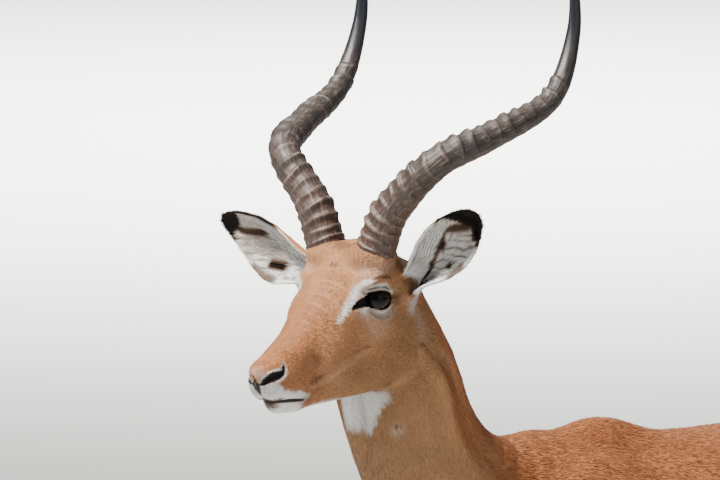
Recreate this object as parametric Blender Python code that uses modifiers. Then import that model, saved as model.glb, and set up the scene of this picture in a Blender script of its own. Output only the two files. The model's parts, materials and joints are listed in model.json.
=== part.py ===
"""A standing male impala, life size, in faceted solids.

The flesh is one smooth form: muscles and bones as ovals and oval-sectioned lofts, melted
into each other. The form is meshed region by region and parted by thin plane cuts where a
person would name the parts. Horns, ears, eyes and the tail are set in sockets of their own.

Sizes are in centimetres and become metres when a mesh is made. Places on the body are
(forward, left, up) from the floor below the withers; places on the head are (forward, left,
up) from the middle between the eyes. The animal faces -X with its left side to -Y.
"""

import math

import bmesh
import bpy
import mathutils
import numpy as np

COLLECTION = "impala"
CUTTERS = "impala_cutters"
CM = 0.01
GAP = 0.03                       # clearance between neighbouring solids
NUDGE = 0.004                    # a cut that grazes a corner is moved this much and tried again
CUT_ATTEMPTS = 12
MORE_FACES = 14
GRID_SHIFT = 0.17
SOCKET_SLACK = 1.15              # a facet's middle lies a little inside its corners

# Driving dimensions.
WITHERS = 90.0                   # height of the back over the shoulder blades
BREAST = 53.0                    # height of the underside of the chest
ELBOW = 57.0
STIFLE = 60.0
CORONET = 4.4                    # height where hair ends and hoof begins
LEG_SPREAD_FORE = 6.8            # half distance between the fore feet
LEG_SPREAD_HIND = 6.2
HEAD_AT = (35.6, 4.0, 105.9)     # middle between the eyes, from the floor below the withers
HEAD_YAW = 17.7                  # the head turns to its left
HEAD_PITCH = 12.1                # the nose drops
HEAD_ROLL = -0.8
EYE_AT = (-0.05, 3.5, 0.1)
EYE_RADIUS = 1.7
HORN_RADIUS = 2.1
HORN_RINGS = 20
HORN_SIDES = 7


def turned(yaw, pitch, roll):
    """Rows are the forward, left and up axes of something that faces -X when all are zero."""
    y, p, r = (math.radians(v) for v in (yaw, pitch, roll))
    forward = np.array([-math.cos(y) * math.cos(p), -math.sin(y) * math.cos(p), -math.sin(p)])
    level = np.array([math.sin(y), -math.cos(y), 0.0])
    left = level * math.cos(r) - np.cross(forward, level) * math.sin(r)
    return np.array([forward, left, np.cross(forward, left)])


def rotation(about_forward, about_left, about_up):
    """The matrix that turns a shape about the forward, left and up axes in turn."""
    a, b, c = (math.radians(v) for v in (about_forward, about_left, about_up))
    one = np.array([[1, 0, 0], [0, math.cos(a), -math.sin(a)], [0, math.sin(a), math.cos(a)]])
    two = np.array([[math.cos(b), 0, math.sin(b)], [0, 1, 0], [-math.sin(b), 0, math.cos(b)]])
    three = np.array([[math.cos(c), -math.sin(c), 0], [math.sin(c), math.cos(c), 0], [0, 0, 1]])
    return three @ two @ one


class Frame:
    """A place with its own forward, left and up axes; side 0 means both sides alike."""

    def __init__(self, origin, axes, side=0):
        self.origin = np.array(origin, float)
        self.axes = np.array(axes, float)
        self.side = side

    def inward(self, x, y, z):
        """World coordinates to this frame's."""
        x = x - self.origin[0]
        y = y - self.origin[1]
        z = z - self.origin[2]
        forward, left, up = (x * a[0] + y * a[1] + z * a[2] for a in self.axes)
        if self.side == 0:
            return forward, np.abs(left), up
        return forward, left * self.side, up

    def outward(self, points):
        """This frame's points, on the side or sides that it stands for, in the world."""
        points = np.atleast_2d(np.asarray(points, float))
        sides = (1, -1) if self.side == 0 else (self.side,)
        return np.concatenate([(points * [1, s, 1]) @ self.axes + self.origin for s in sides])


BODY = Frame((0, 0, 0), turned(0, 0, 0))
HEAD = Frame((-HEAD_AT[0], -HEAD_AT[1], HEAD_AT[2]), turned(HEAD_YAW, HEAD_PITCH, HEAD_ROLL))


def one_side(frame, side):
    """The same frame for the left (1) or right (-1) side alone."""
    return Frame(frame.origin, frame.axes, side)


HEAD_PLAIN = one_side(HEAD, 1)


def head_in_body(point):
    """A place on the head, in the body's own forward, left and up."""
    world = np.array(point, float) @ HEAD.axes + HEAD.origin
    return tuple(world @ BODY.axes.T)


def melt(a, b, width):
    """The smaller of two distances, rounded where they are within width."""
    h = np.clip(0.5 + 0.5 * (b - a) / width, 0.0, 1.0)
    return b + (a - b) * h - width * h * (1.0 - h)


def smooth_rows(rows, per):
    """A smooth run of rows through the given ones, per rows to each span."""
    rows = np.asarray(rows, float)
    ends = np.vstack([2 * rows[0] - rows[1], rows, 2 * rows[-1] - rows[-2]])
    t = np.linspace(0, 1, per, endpoint=False)[:, None]
    spans = []
    for a, b, c, d in zip(ends, ends[1:], ends[2:], ends[3:]):
        bend = 2 * a - 5 * b + 4 * c - d
        twist = 3 * b - a - 3 * c + d
        spans.append(0.5 * (2 * b + (c - a) * t + bend * t ** 2 + twist * t ** 3))
    return np.vstack(spans + [rows[-1:]])


class Oval:
    """An ellipsoid: centre, half lengths, and a turn about forward, left and up."""

    def __init__(self, frame, centre, radii, turn=(0, 0, 0)):
        self.frame = frame
        self.centre = np.array(centre, float)
        self.radii = np.array(radii, float)
        self.turn = rotation(*turn)
        signs = np.array([[i, j, k] for i in (-1, 1) for j in (-1, 1) for k in (-1, 1)])
        reach = frame.outward(signs * self.radii @ self.turn.T + self.centre)
        self.low = reach.min(axis=0)
        self.high = reach.max(axis=0)

    def distance(self, x, y, z):
        """Distance to the surface, negative inside."""
        local = [v - c for v, c in zip(self.frame.inward(x, y, z), self.centre)]
        scaled = []
        for i, radius in enumerate(self.radii):
            scaled.append(sum(v * self.turn[j, i] for j, v in enumerate(local)) / radius)
        near = np.sqrt(sum(v * v for v in scaled)) + 1e-9
        slope = np.sqrt(sum((v / r) ** 2 for v, r in zip(scaled, self.radii))) + 1e-9
        return near * (near - 1.0) / slope


class Loft:
    """A limb of oval sections: rows of forward, left, up, half width, half depth."""

    def __init__(self, frame, rows, per=2):
        self.frame = frame
        self.rows = smooth_rows(rows, per)
        reach = frame.outward(self.rows[:, :3])
        margin = self.rows[:, 3:].max()
        self.low = reach.min(axis=0) - margin
        self.high = reach.max(axis=0) + margin

    def distance(self, x, y, z):
        """Distance to the surface, negative inside."""
        place = self.frame.inward(x, y, z)
        nearest = None
        for a, b in zip(self.rows[:-1], self.rows[1:]):
            run = b[:3] - a[:3]
            length = math.sqrt(run @ run)
            along = run / length
            across = np.array([0.0, 1.0, 0.0]) - along * along[1]
            across /= np.linalg.norm(across)
            deep = np.cross(along, across)
            p = [v - c for v, c in zip(place, a)]
            t = np.clip(sum(v * c for v, c in zip(p, along)) / length, 0, 1)
            off = [v - t * length * c for v, c in zip(p, along)]
            wide = a[3] + t * (b[3] - a[3])
            tall = a[4] + t * (b[4] - a[4])
            end = np.minimum(wide, tall)
            parts = [sum(v * c for v, c in zip(off, axis)) / size
                     for axis, size in ((across, wide), (deep, tall), (along, end))]
            near = np.sqrt(sum(v * v for v in parts)) + 1e-9
            slope = np.sqrt(sum((v / s) ** 2 for v, s in zip(parts, (wide, tall, end)))) + 1e-9
            value = near * (near - 1.0) / slope
            nearest = value if nearest is None else np.minimum(nearest, value)
        return nearest


class Form:
    """Shapes melted together, each with the width of its own blend."""

    FAR = 40.0
    REACH = 3.0

    def __init__(self):
        self.shapes = []

    def add(self, shape, blend):
        """Melt one more shape in."""
        self.shapes.append((shape, blend, False))

    def carve(self, shape, blend):
        """Take a shape away, with a rounded edge."""
        self.shapes.append((shape, blend, True))

    @staticmethod
    def joined(before, value, blend, carved):
        """What a field becomes when one more shape acts on it."""
        if carved:
            return -melt(-before, value, blend)
        return melt(before, value, blend)

    def at(self, points):
        """Distances at scattered points."""
        out = np.full(len(points), self.FAR)
        for shape, blend, carved in self.shapes:
            pad = blend + self.REACH
            near = np.all((points > shape.low - pad) & (points < shape.high + pad), axis=1)
            if near.any():
                value = shape.distance(*points[near].T)
                out[near] = self.joined(out[near], value, blend, carved)
        return out

    def on_grid(self, axes):
        """Distances on a grid, each shape worked out only in its own neighbourhood."""
        out = np.full([len(a) for a in axes], self.FAR)
        for shape, blend, carved in self.shapes:
            pad = blend + self.REACH
            span = [slice(np.searchsorted(a, low - pad), np.searchsorted(a, high + pad))
                    for a, low, high in zip(axes, shape.low, shape.high)]
            if any(s.stop <= s.start for s in span):
                continue
            x, y, z = (a[s] for a, s in zip(axes, span))
            value = shape.distance(x[:, None, None], y[None, :, None], z[None, None, :])
            out[tuple(span)] = self.joined(out[tuple(span)], value, blend, carved)
        return out

    def box(self):
        """Lowest and highest corner of all the shapes."""
        low = np.min([s[0].low for s in self.shapes], axis=0)
        high = np.max([s[0].high for s in self.shapes], axis=0)
        return low, high


# ---------------------------------------------------------------- the animal's own form


def add_trunk(form):
    """Barrel, back, withers, shoulders, breast and haunches."""
    stations = [                 # forward, back, belly, half width
        (21.0, 79.0, 65.0, 5.4),
        (17.0, 82.5, 60.0, 7.6),
        (10.0, 85.6, 56.0, 9.2),
        (0.0, 87.0, BREAST + 0.6, 10.9),
        (-12.0, 86.7, BREAST, 12.7),
        (-24.0, 87.0, 54.0, 13.8),
        (-36.0, 89.2, 57.2, 13.2),
        (-46.0, 90.8, 61.6, 11.6),
        (-55.0, 91.0, 65.2, 10.2),
        (-62.5, 87.0, 69.8, 7.2),
    ]
    rows = [(f, 0, (back + belly) / 2, wide, (back - belly) / 2)
            for f, back, belly, wide in stations]
    form.add(Loft(BODY, rows), 1.0)
    spine = [(-8, 0, 83.4, 3.2, 3.5), (-20, 0, 83.7, 3.6, 3.4), (-36, 0, 86.2, 3.8, 3.2),
             (-50, 0, 88.1, 4.4, 3.2), (-60, 0, 85.4, 4.2, 3.2)]
    form.add(Loft(BODY, spine), 4.0)
    form.add(Oval(BODY, (1.0, 0, WITHERS - 5.6), (8.0, 3.0, 5.6), (0, 6, 0)), 3.2)
    form.add(Oval(BODY, (9.0, 0, WITHERS - 6.0), (4.0, 2.6, 5.0), (0, -10, 0)), 2.6)
    form.add(Oval(BODY, (9.0, 7.0, 76.5), (4.6, 2.8, 11.5), (14, -38, 0)), 3.0)
    form.add(Oval(BODY, (2.5, 7.4, 75.0), (4.2, 2.9, 9.5), (12, -18, 0)), 3.0)
    form.add(Oval(BODY, (17.0, 6.2, 67.5), (4.8, 4.0, 5.8), (0, -20, 0)), 3.0)
    form.add(Oval(BODY, (6.0, 8.2, 64.5), (7.0, 3.4, 6.4), (0, 36, 0)), 3.0)
    form.add(Oval(BODY, (16.0, 0, 62.5), (6.5, 4.2, 5.6)), 3.5)
    form.add(Oval(BODY, (1.0, 0, BREAST + 3.6), (13.0, 4.6, 3.6), (0, 4, 0)), 3.5)
    form.add(Oval(BODY, (-53.5, 6.6, 77.5), (10.5, 5.0, 11.5), (8, -10, 0)), 4.0)
    form.add(Oval(BODY, (-61.5, 6.0, 72.0), (7.2, 4.8, 11.0), (4, 8, 0)), 3.5)
    form.add(Oval(BODY, (-66.6, 4.6, 77.0), (2.4, 2.6, 4.0)), 3.0)
    form.add(Oval(BODY, (-49.5, 7.2, 67.5), (6.2, 4.3, 8.5), (4, -24, 0)), 3.5)
    form.add(Oval(BODY, (-35.0, 0, 57.6), (7.5, 1.7, 2.2), (0, 10, 0)), 2.2)


def add_neck(form):
    """The neck climbs steeply from the chest and turns with the head."""
    nape = head_in_body((-4.6, 0, -1.4))
    rows = [(6.0, 0.0, 74.6, 8.2, 12.6), (13.6, 0.2, 78.2, 7.4, 10.6),
            (20.2, 0.8, 83.6, 5.9, 8.1), (24.2, 1.8, 89.8, 4.8, 6.6),
            (26.9, 2.7, 97.0, 4.2, 5.7), (*nape, 3.8, 4.8)]
    form.add(Loft(BODY, rows, 3), 3.0)


def add_head(form):
    """Skull, brows, cheeks, jaws, lips and nose."""
    profile = [(-6.0, 0, -0.9, 3.6, 3.4), (-3.0, 0, 0.0, 4.5, 4.6), (1.5, 0, -0.5, 4.6, 4.3),
               (5.5, 0, -1.8, 3.5, 3.5), (9.0, 0, -2.9, 2.8, 2.8), (12.3, 0, -3.7, 2.4, 2.6),
               (14.3, 0, -4.0, 2.2, 2.2), (14.9, 0, -4.1, 2.0, 2.0)]
    form.add(Loft(HEAD, profile, 3), 1.5)
    form.add(Oval(HEAD, (-2.6, 0, 2.9), (3.4, 3.6, 2.4)), 1.6)
    form.add(Oval(HEAD, (-1.9, 3.2, 3.9), (2.4, 2.0, 1.7)), 1.2)
    form.add(Oval(HEAD, (-0.2, 3.9, 2.2), (3.0, 1.3, 1.0), (0, 0, 6)), 1.3)
    form.add(Oval(HEAD, (-0.5, 3.55, -0.25), (3.0, 1.27, 2.8), (0, 0, 8)), 1.3)
    form.add(Oval(HEAD, (3.2, 2.6, -0.9), (2.6, 1.15, 1.9), (0, 0, 14)), 1.5)
    form.add(Oval(HEAD, (-4.4, 4.0, 0.4), (2.2, 1.7, 2.5)), 1.4)
    form.add(Oval(HEAD, (-1.4, 3.0, -4.4), (4.3, 1.8, 4.3)), 1.8)
    form.add(Oval(HEAD, (4.5, 2.3, -4.6), (4.6, 1.6, 2.8), (0, 0, 6)), 1.8)
    jaw = [(-3.2, 2.4, -6.4, 1.5, 2.8), (0.5, 2.4, -7.6, 1.5, 2.3), (5.0, 2.0, -7.4, 1.4, 1.9),
           (9.0, 1.4, -7.0, 1.2, 1.7), (12.2, 0.9, -7.0, 1.1, 1.4)]
    form.add(Loft(HEAD, jaw), 1.6)
    form.add(Oval(HEAD, (3.0, 0, -6.6), (8.0, 2.6, 2.2), (0, 2, 0)), 1.6)
    form.add(Oval(HEAD, (12.6, 0, -7.0), (2.8, 1.6, 1.45), (0, 4, 0)), 1.2)
    form.add(Oval(HEAD, (13.4, 1.1, -5.0), (2.8, 1.3, 1.6), (0, 6, -6)), 1.2)
    form.add(Oval(HEAD, (15.3, 0, -3.5), (1.6, 1.6, 1.4)), 1.0)
    form.carve(Oval(HEAD, (15.9, 1.75, -3.4), (1.3, 0.35, 0.5), (0, -20, 32)), 0.4)
    f, l, u = EYE_AT
    form.carve(Oval(HEAD, (f + 0.15, l + 1.8, u), (1.95, 1.2, 1.15), (0, 4, 8)), 0.5)


def standing(rows, stride, pivot):
    """Rows of a leg with the foot swung forward by stride, more the lower it is."""
    return [(row[0] + stride * (1 - row[2] / pivot), *row[1:]) for row in rows]


def add_foot(form, frame, ankle, stride, pivot):
    """Pastern and two claws, below a fetlock whose middle is ankle."""
    f, l, u = ankle
    rows = [(f, l, u, 1.6, 1.85), (f + 0.8, l, u - 2.7, 1.4, 1.5),
            (f + 1.8, l, u - 5.1, 1.75, 1.75), (f + 2.4, l, u - 6.6, 1.8, 2.0)]
    form.add(Loft(frame, standing(rows, stride, pivot)), 1.0)
    form.add(Oval(frame, (f - 1.6 + stride * (1 - u / pivot), l, u - 0.3), (1.1, 1.3, 1.3)), 1.0)
    shift = stride * (1 - 2.0 / pivot)
    for side in (-1, 1):
        claw = [(f + 2.0, l + side * 1.0, u - 7.2, 1.05, 2.5),
                (f + 2.9, l + side * 1.05, u - 8.8, 1.1, 2.7),
                (f + 4.3, l + side * 0.95, u - 10.4, 0.95, 2.2),
                (f + 5.2, l + side * 0.85, u - 11.6, 0.8, 1.4)]
        form.add(Loft(frame, [(row[0] + shift, *row[1:]) for row in claw]), 0.35)


def add_fore_leg(form, side, stride):
    """Forearm, knee, cannon and foot."""
    frame = one_side(BODY, side)
    l = LEG_SPREAD_FORE
    rows = [(8.5, l + 1.4, 60.5, 3.0, 5.6), (7.6, l + 1.4, 56.5, 2.9, 4.6),
            (7.8, l + 1.1, 50.5, 2.55, 3.5), (8.3, l + 0.7, 44.0, 2.1, 2.65),
            (8.7, l + 0.4, 38.0, 1.85, 2.1), (9.1, l + 0.3, 34.0, 2.1, 2.25),
            (8.9, l + 0.2, 31.5, 1.8, 1.9), (8.7, l + 0.1, 27.5, 1.3, 1.4),
            (8.5, l, 20.0, 1.15, 1.25), (8.3, l, 14.5, 1.25, 1.4), (8.4, l, 11.3, 1.6, 1.85)]
    form.add(Loft(frame, standing(rows, stride, ELBOW)), 2.2)
    form.add(Oval(frame, (3.2, l + 1.2, 58.0), (2.0, 1.7, 3.0), (0, -12, 0)), 2.2)
    heel = stride * (1 - 33.4 / ELBOW)
    form.add(Oval(frame, (7.3 + heel, l + 0.2, 33.4), (1.1, 1.2, 1.7)), 1.2)
    add_foot(form, frame, (8.4, l, 11.3), stride, ELBOW)


def add_hind_leg(form, side, stride):
    """Thigh, kneecap, gaskin, hock, cannon and foot."""
    frame = one_side(BODY, side)
    l = LEG_SPREAD_HIND
    rows = [(-50.5, l + 1.4, 66.0, 4.0, 7.6), (-50.0, l + 1.7, 60.5, 3.7, 6.6),
            (-53.8, l + 1.6, 55.5, 3.1, 5.1), (-59.0, l + 1.0, 50.0, 2.4, 3.8),
            (-63.9, l + 0.4, 44.8, 1.95, 2.8), (-67.4, l + 0.1, 40.6, 1.75, 2.3),
            (-69.2, l, 36.6, 1.65, 2.2), (-69.1, l, 32.5, 1.4, 1.7), (-68.8, l, 26.0, 1.2, 1.4),
            (-68.5, l, 18.0, 1.2, 1.35), (-68.2, l, 14.6, 1.35, 1.5), (-67.9, l, 11.8, 1.65, 1.9)]
    form.add(Loft(frame, standing(rows, stride, STIFLE)), 2.4)
    form.add(Oval(frame, (-45.2, l + 2.0, 60.0), (2.2, 2.0, 3.4), (0, -20, 0)), 2.4)
    tendon = [(-60.5, l + 0.4, 64.0, 3.2, 6.0), (-61.8, l + 0.6, 57.0, 2.0, 4.6),
              (-64.6, l + 0.5, 51.5, 1.3, 3.4), (-67.6, l + 0.2, 47.2, 1.1, 2.4),
              (-70.8, l, 42.8, 1.15, 1.5), (-70.3, l, 37.0, 1.1, 1.4)]
    form.add(Loft(frame, standing(tendon, stride, STIFLE)), 1.6)
    add_foot(form, frame, (-67.9, l, 11.8), stride, STIFLE)


STRIDES_FORE = {1: 3.0, -1: -1.5}
STRIDES_HIND = {1: -2.0, -1: 3.5}


def whole_form():
    """The flesh of the animal as one form, to the tips of its coat."""
    form = Form()
    add_trunk(form)
    add_neck(form)
    add_head(form)
    for side in (1, -1):
        add_fore_leg(form, side, STRIDES_FORE[side])
        add_hind_leg(form, side, STRIDES_HIND[side])
    form.add(Loft(BODY, [(-61.0, 0, 85.0, 2.8, 3.0), (-67.0, 0, 83.2, 2.0, 2.1)]), 2.4)
    return form


def tail_form():
    """The hanging tail with its brush of hair."""
    form = Form()
    rows = [(-66.5, 0, 83.4, 1.5, 1.6), (-70.6, 0, 80.6, 1.7, 1.6), (-72.8, 0, 75.0, 2.3, 1.7),
            (-73.6, 0, 67.0, 2.8, 1.8), (-73.4, 0, 59.5, 2.2, 1.5), (-72.8, 0, 54.5, 0.9, 0.8)]
    form.add(Loft(BODY, rows, 3), 0.5)
    return form


# ---------------------------------------------------------------- from a form to a mesh


def net(axes, field):
    """Vertices and quads round the inside of a field: one vertex in each cell it crosses."""
    inside = field < 0
    counts = [n - 1 for n in field.shape]
    filled = np.zeros(counts, int)
    corners = [(i, j, k) for i in (0, 1) for j in (0, 1) for k in (0, 1)]
    for i, j, k in corners:
        filled += inside[i:counts[0] + i, j:counts[1] + j, k:counts[2] + k]
    cells = np.argwhere((filled > 0) & (filled < 8))
    index = np.full(counts, -1)
    index[tuple(cells.T)] = np.arange(len(cells))
    total = np.zeros((len(cells), 3))
    hits = np.zeros(len(cells))
    for corner in corners:
        for axis in range(3):
            if corner[axis]:
                continue
            step = np.eye(3, dtype=int)[axis]
            start = field[tuple((cells + corner).T)]
            end = field[tuple((cells + corner + step).T)]
            crossed = (start < 0) != (end < 0)
            place = np.tile(np.array(corner, float), (crossed.sum(), 1))
            place[:, axis] = start[crossed] / (start[crossed] - end[crossed])
            total[crossed] += place
            hits[crossed] += 1
    size = axes[0][1] - axes[0][0]
    points = np.array([a[0] for a in axes]) + (cells + total / hits[:, None]) * size
    quads = []
    for axis in range(3):
        near = inside.take(range(counts[axis]), axis)
        far = inside.take(range(1, counts[axis] + 1), axis)
        edges = np.argwhere(near != far)
        first, second = [i for i in range(3) if i != axis]
        back = np.zeros(3, int)
        ring = []
        for a, b in ((1, 1), (0, 1), (0, 0), (1, 0)):
            back[first] = a
            back[second] = b
            ring.append(index[tuple((edges - back).T)])
        quad = np.stack(ring, axis=1)
        outward = inside[tuple(edges.T)] != (axis == 1)
        quad[~outward] = quad[~outward][:, ::-1]
        quads.append(quad)
    return points, np.vstack(quads)


def settle(form, points, size):
    """Points moved onto the form's own surface."""
    probe = 0.05
    for _ in range(3):
        slope = np.stack([form.at(points + probe * axis) - form.at(points - probe * axis)
                          for axis in np.eye(3)], axis=1) / (2 * probe)
        move = slope * (form.at(points) / ((slope ** 2).sum(axis=1) + 1e-9))[:, None]
        length = np.linalg.norm(move, axis=1, keepdims=True)
        points = points - move * np.minimum(1.0, 0.5 * size / np.maximum(length, 1e-9))
    return points


def form_mesh(form, low, high, size, shift=0.0):
    """The part of a form inside a box of the world, as a mesh with square-ish faces."""
    form_low, form_high = form.box()
    low = np.maximum(low, form_low - 2 * size) - shift
    high = np.minimum(high, form_high + 2 * size)
    axes = [np.arange(a, b + size, size) for a, b in zip(low, high)]
    field = form.on_grid(axes)
    for axis in range(3):
        for end in (0, -1):
            edge = [slice(None)] * 3
            edge[axis] = end
            field[tuple(edge)] = np.maximum(field[tuple(edge)], 0.01)
    points, quads = net(axes, field)
    free = np.all((points > low + 1.5 * size) & (points < high - 1.5 * size), axis=1)
    points[free] = settle(form, points[free], size)
    mesh = bpy.data.meshes.new("form")
    mesh.from_pydata((points * CM).tolist(), [], quads.tolist())
    return mesh


# ---------------------------------------------------------------- Blender's own work


def add_object(name, mesh):
    """A new object in the animal's collection."""
    piece = bpy.data.objects.new(name, mesh)
    bpy.data.collections[COLLECTION].objects.link(piece)
    return piece


def apply_modifiers(piece):
    """Replace a piece's mesh with its evaluated one."""
    graph = bpy.context.evaluated_depsgraph_get()
    mesh = bpy.data.meshes.new_from_object(piece.evaluated_get(graph))
    old = piece.data
    piece.modifiers.clear()
    piece.data = mesh
    bpy.data.meshes.remove(old)


def thin_out(piece, faces):
    """Collapse a mesh to about this many triangles, keeping its curves."""
    triangles = sum(len(p.vertices) - 2 for p in piece.data.polygons)
    if triangles <= faces:
        return
    reduce = piece.modifiers.new("fewer faces", "DECIMATE")
    reduce.ratio = faces / triangles
    reduce.use_collapse_triangulate = True
    apply_modifiers(piece)


def is_closed(mesh):
    """Whether every edge has two faces and every corner is a single fan."""
    if not all(e.is_manifold for e in mesh.edges):
        return False
    return all(v.is_manifold for v in mesh.verts)


def cut_once(data, planes, nudge):
    """What lies behind every plane moved back by nudge, its cuts closed."""
    mesh = bmesh.new()
    mesh.from_mesh(data)
    for point, normal in planes:
        normal = np.array(normal, float) / np.linalg.norm(normal)
        point = (np.array(point, float) - normal * (GAP / 2 + nudge)) * CM
        everything = mesh.verts[:] + mesh.edges[:] + mesh.faces[:]
        bmesh.ops.bisect_plane(mesh, geom=everything, dist=1e-6, plane_co=point.tolist(),
                               plane_no=normal.tolist(), clear_outer=True)
        rim = [e for e in mesh.edges if e.is_boundary]
        bmesh.ops.holes_fill(mesh, edges=rim, sides=0)
    keep_largest(mesh)
    bmesh.ops.remove_doubles(mesh, verts=mesh.verts[:], dist=5e-6)
    bmesh.ops.triangulate(mesh, faces=[f for f in mesh.faces if len(f.verts) > 4])
    bmesh.ops.recalc_face_normals(mesh, faces=mesh.faces[:])
    return mesh


def keep_largest(mesh):
    """Drop every loose island but the one with most vertices."""
    left = set(mesh.verts)
    islands = []
    while left:
        front = [left.pop()]
        island = list(front)
        while front:
            for edge in front.pop().link_edges:
                for vert in edge.verts:
                    if vert in left:
                        left.remove(vert)
                        front.append(vert)
                        island.append(vert)
        islands.append(island)
    islands.sort(key=len)
    for island in islands[:-1]:
        bmesh.ops.delete(mesh, geom=island, context="VERTS")


def take_away(target, cutter):
    """Cut one solid out of another and keep its main part."""
    bpy.data.collections[CUTTERS].objects.link(cutter)
    cutter.hide_render = True
    cutter.display_type = "WIRE"
    pocket = target.modifiers.new("pocket", "BOOLEAN")
    pocket.operation = "DIFFERENCE"
    pocket.object = cutter
    apply_modifiers(target)
    tidy = bmesh.new()
    tidy.from_mesh(target.data)
    keep_largest(tidy)
    tidy.to_mesh(target.data)
    tidy.free()


def socket(target, piece):
    """Cut a pocket in target that clears piece all round."""
    mesh = piece.data.copy()
    shell = bmesh.new()
    shell.from_mesh(mesh)
    shell.normal_update()
    moves = [v.normal * v.calc_shell_factor() * GAP * SOCKET_SLACK * CM for v in shell.verts]
    for vert, move in zip(shell.verts, moves):
        vert.co += move
    shell.to_mesh(mesh)
    shell.free()
    take_away(target, bpy.data.objects.new(piece.name + "_cutter", mesh))


# ---------------------------------------------------------------- horns, ears and eyes


HORN_LINE = [                    # forward, left, up on the head, from root to tip
    (-1.3, 2.9, 3.6), (-1.9, 3.45, 5.2), (-3.1, 5.3, 9.1), (-5.6, 10.15, 13.7), (-12.0, 12.5, 14.7),
    (-21.1, 14.05, 16.1), (-26.2, 14.2, 21.5), (-27.7, 14.0, 27.4), (-26.8, 13.3, 32.4),
    (-24.9, 12.5, 36.0)]
HORN_TAPER = [(0.0, 1.0), (0.1, 0.93), (0.2, 0.82), (0.32, 0.75), (0.48, 0.63), (0.6, 0.52),
              (0.7, 0.38), (0.8, 0.25), (0.93, 0.12), (1.0, 0.05)]
RINGED_PART = (0.04, 0.64)       # where along the horn its rings begin and end
RING_HEIGHT = 0.16


def horn_mesh(side):
    """A ringed horn as a lofted tube with its crest and trough rows."""
    line = smooth_rows(HORN_LINE, 24)
    steps = np.linalg.norm(np.diff(line, axis=0), axis=1)
    run = np.concatenate([[0.0], np.cumsum(steps)]) / steps.sum()
    start, end = RINGED_PART
    places = list(np.linspace(0.0, start, 3)[:-1])
    for ring in range(HORN_RINGS):
        low = start + (end - start) * (ring / HORN_RINGS) ** 1.15
        high = start + (end - start) * ((ring + 1) / HORN_RINGS) ** 1.15
        places += [low, low + 0.7 * (high - low)]
    places += list(np.linspace(end, 1.0, 9))
    crests = set(range(3, 3 + 2 * HORN_RINGS, 2))
    mesh = bmesh.new()
    rings = []
    for number, place in enumerate(places):
        centre = np.array([np.interp(place, run, line[:, i]) for i in range(3)])
        ahead = np.array([np.interp(min(place + 0.01, 1.0), run, line[:, i]) for i in range(3)])
        behind = np.array([np.interp(max(place - 0.01, 0.0), run, line[:, i]) for i in range(3)])
        along = (ahead - behind) / np.linalg.norm(ahead - behind)
        front = np.array([1.0, 0.0, 0.3]) - along * (along @ np.array([1.0, 0.0, 0.3]))
        front /= np.linalg.norm(front)
        beside = np.cross(along, front)
        radius = HORN_RADIUS * np.interp(place, *zip(*HORN_TAPER))
        if number in crests:
            radius += RING_HEIGHT
        ring = []
        for i in range(HORN_SIDES):
            turn = 2 * math.pi * i / HORN_SIDES
            point = centre + radius * (math.cos(turn) * front + math.sin(turn) * beside)
            point[1] *= side
            ring.append(mesh.verts.new((HEAD_PLAIN.outward(point)[0] * CM).tolist()))
        rings.append(ring)
    for low, high in zip(rings, rings[1:]):
        for i in range(HORN_SIDES):
            j = (i + 1) % HORN_SIDES
            mesh.faces.new((low[i], low[j], high[j], high[i]))
    mesh.faces.new(rings[0])
    mesh.faces.new(rings[-1])
    bmesh.ops.recalc_face_normals(mesh, faces=mesh.faces[:])
    return finished(mesh, "horn")


def finished(mesh, name):
    """A bmesh as a mesh of its own."""
    data = bpy.data.meshes.new(name)
    mesh.to_mesh(data)
    mesh.free()
    return data


EAR_ROOT = (-4.2, 5.3, 0.8)      # on the head, middle of the ear's root
EAR_TIPS = {1: (-0.9, 17.5, 9.8), -1: (-4.5, 19.3, 6.0)}
EAR_FACES = {1: (0.82, 0.18, -0.54), -1: (0.98, 0.09, -0.19)}
EAR_BOWS = {1: -0.3, -1: 0.3}    # how far the middle of the ear bends aside
EAR_MEDIAL = {1: 0.5, -1: 0.6}   # how much of the curl the upper rim keeps
EAR_BREADTH = {1: 0.92, -1: 1.0}
EAR_THICK = 0.34
EAR_ROWS = 10
EAR_COLUMNS = 6
EAR_SHAPE = [                    # along the ear, half width unrolled, half angle of its curl
    (0.0, 2.8, 2.4), (0.15, 3.5, 2.35), (0.25, 4.1, 2.2), (0.39, 4.75, 1.75), (0.53, 4.85, 1.4),
    (0.68, 4.15, 1.15), (0.81, 3.0, 0.95), (0.91, 2.0, 0.8), (0.97, 1.15, 0.7), (1.0, 0.5, 0.6)]


def ear_axes(side):
    """Root, tip, the way it opens and the way across, on the head's left side."""
    root = np.array(EAR_ROOT)
    tip = np.array(EAR_TIPS[side])
    along = (tip - root) / np.linalg.norm(tip - root)
    opening = np.array(EAR_FACES[side])
    opening = opening - along * (along @ opening)
    opening /= np.linalg.norm(opening)
    return root, tip, opening, np.cross(along, opening)


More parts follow.
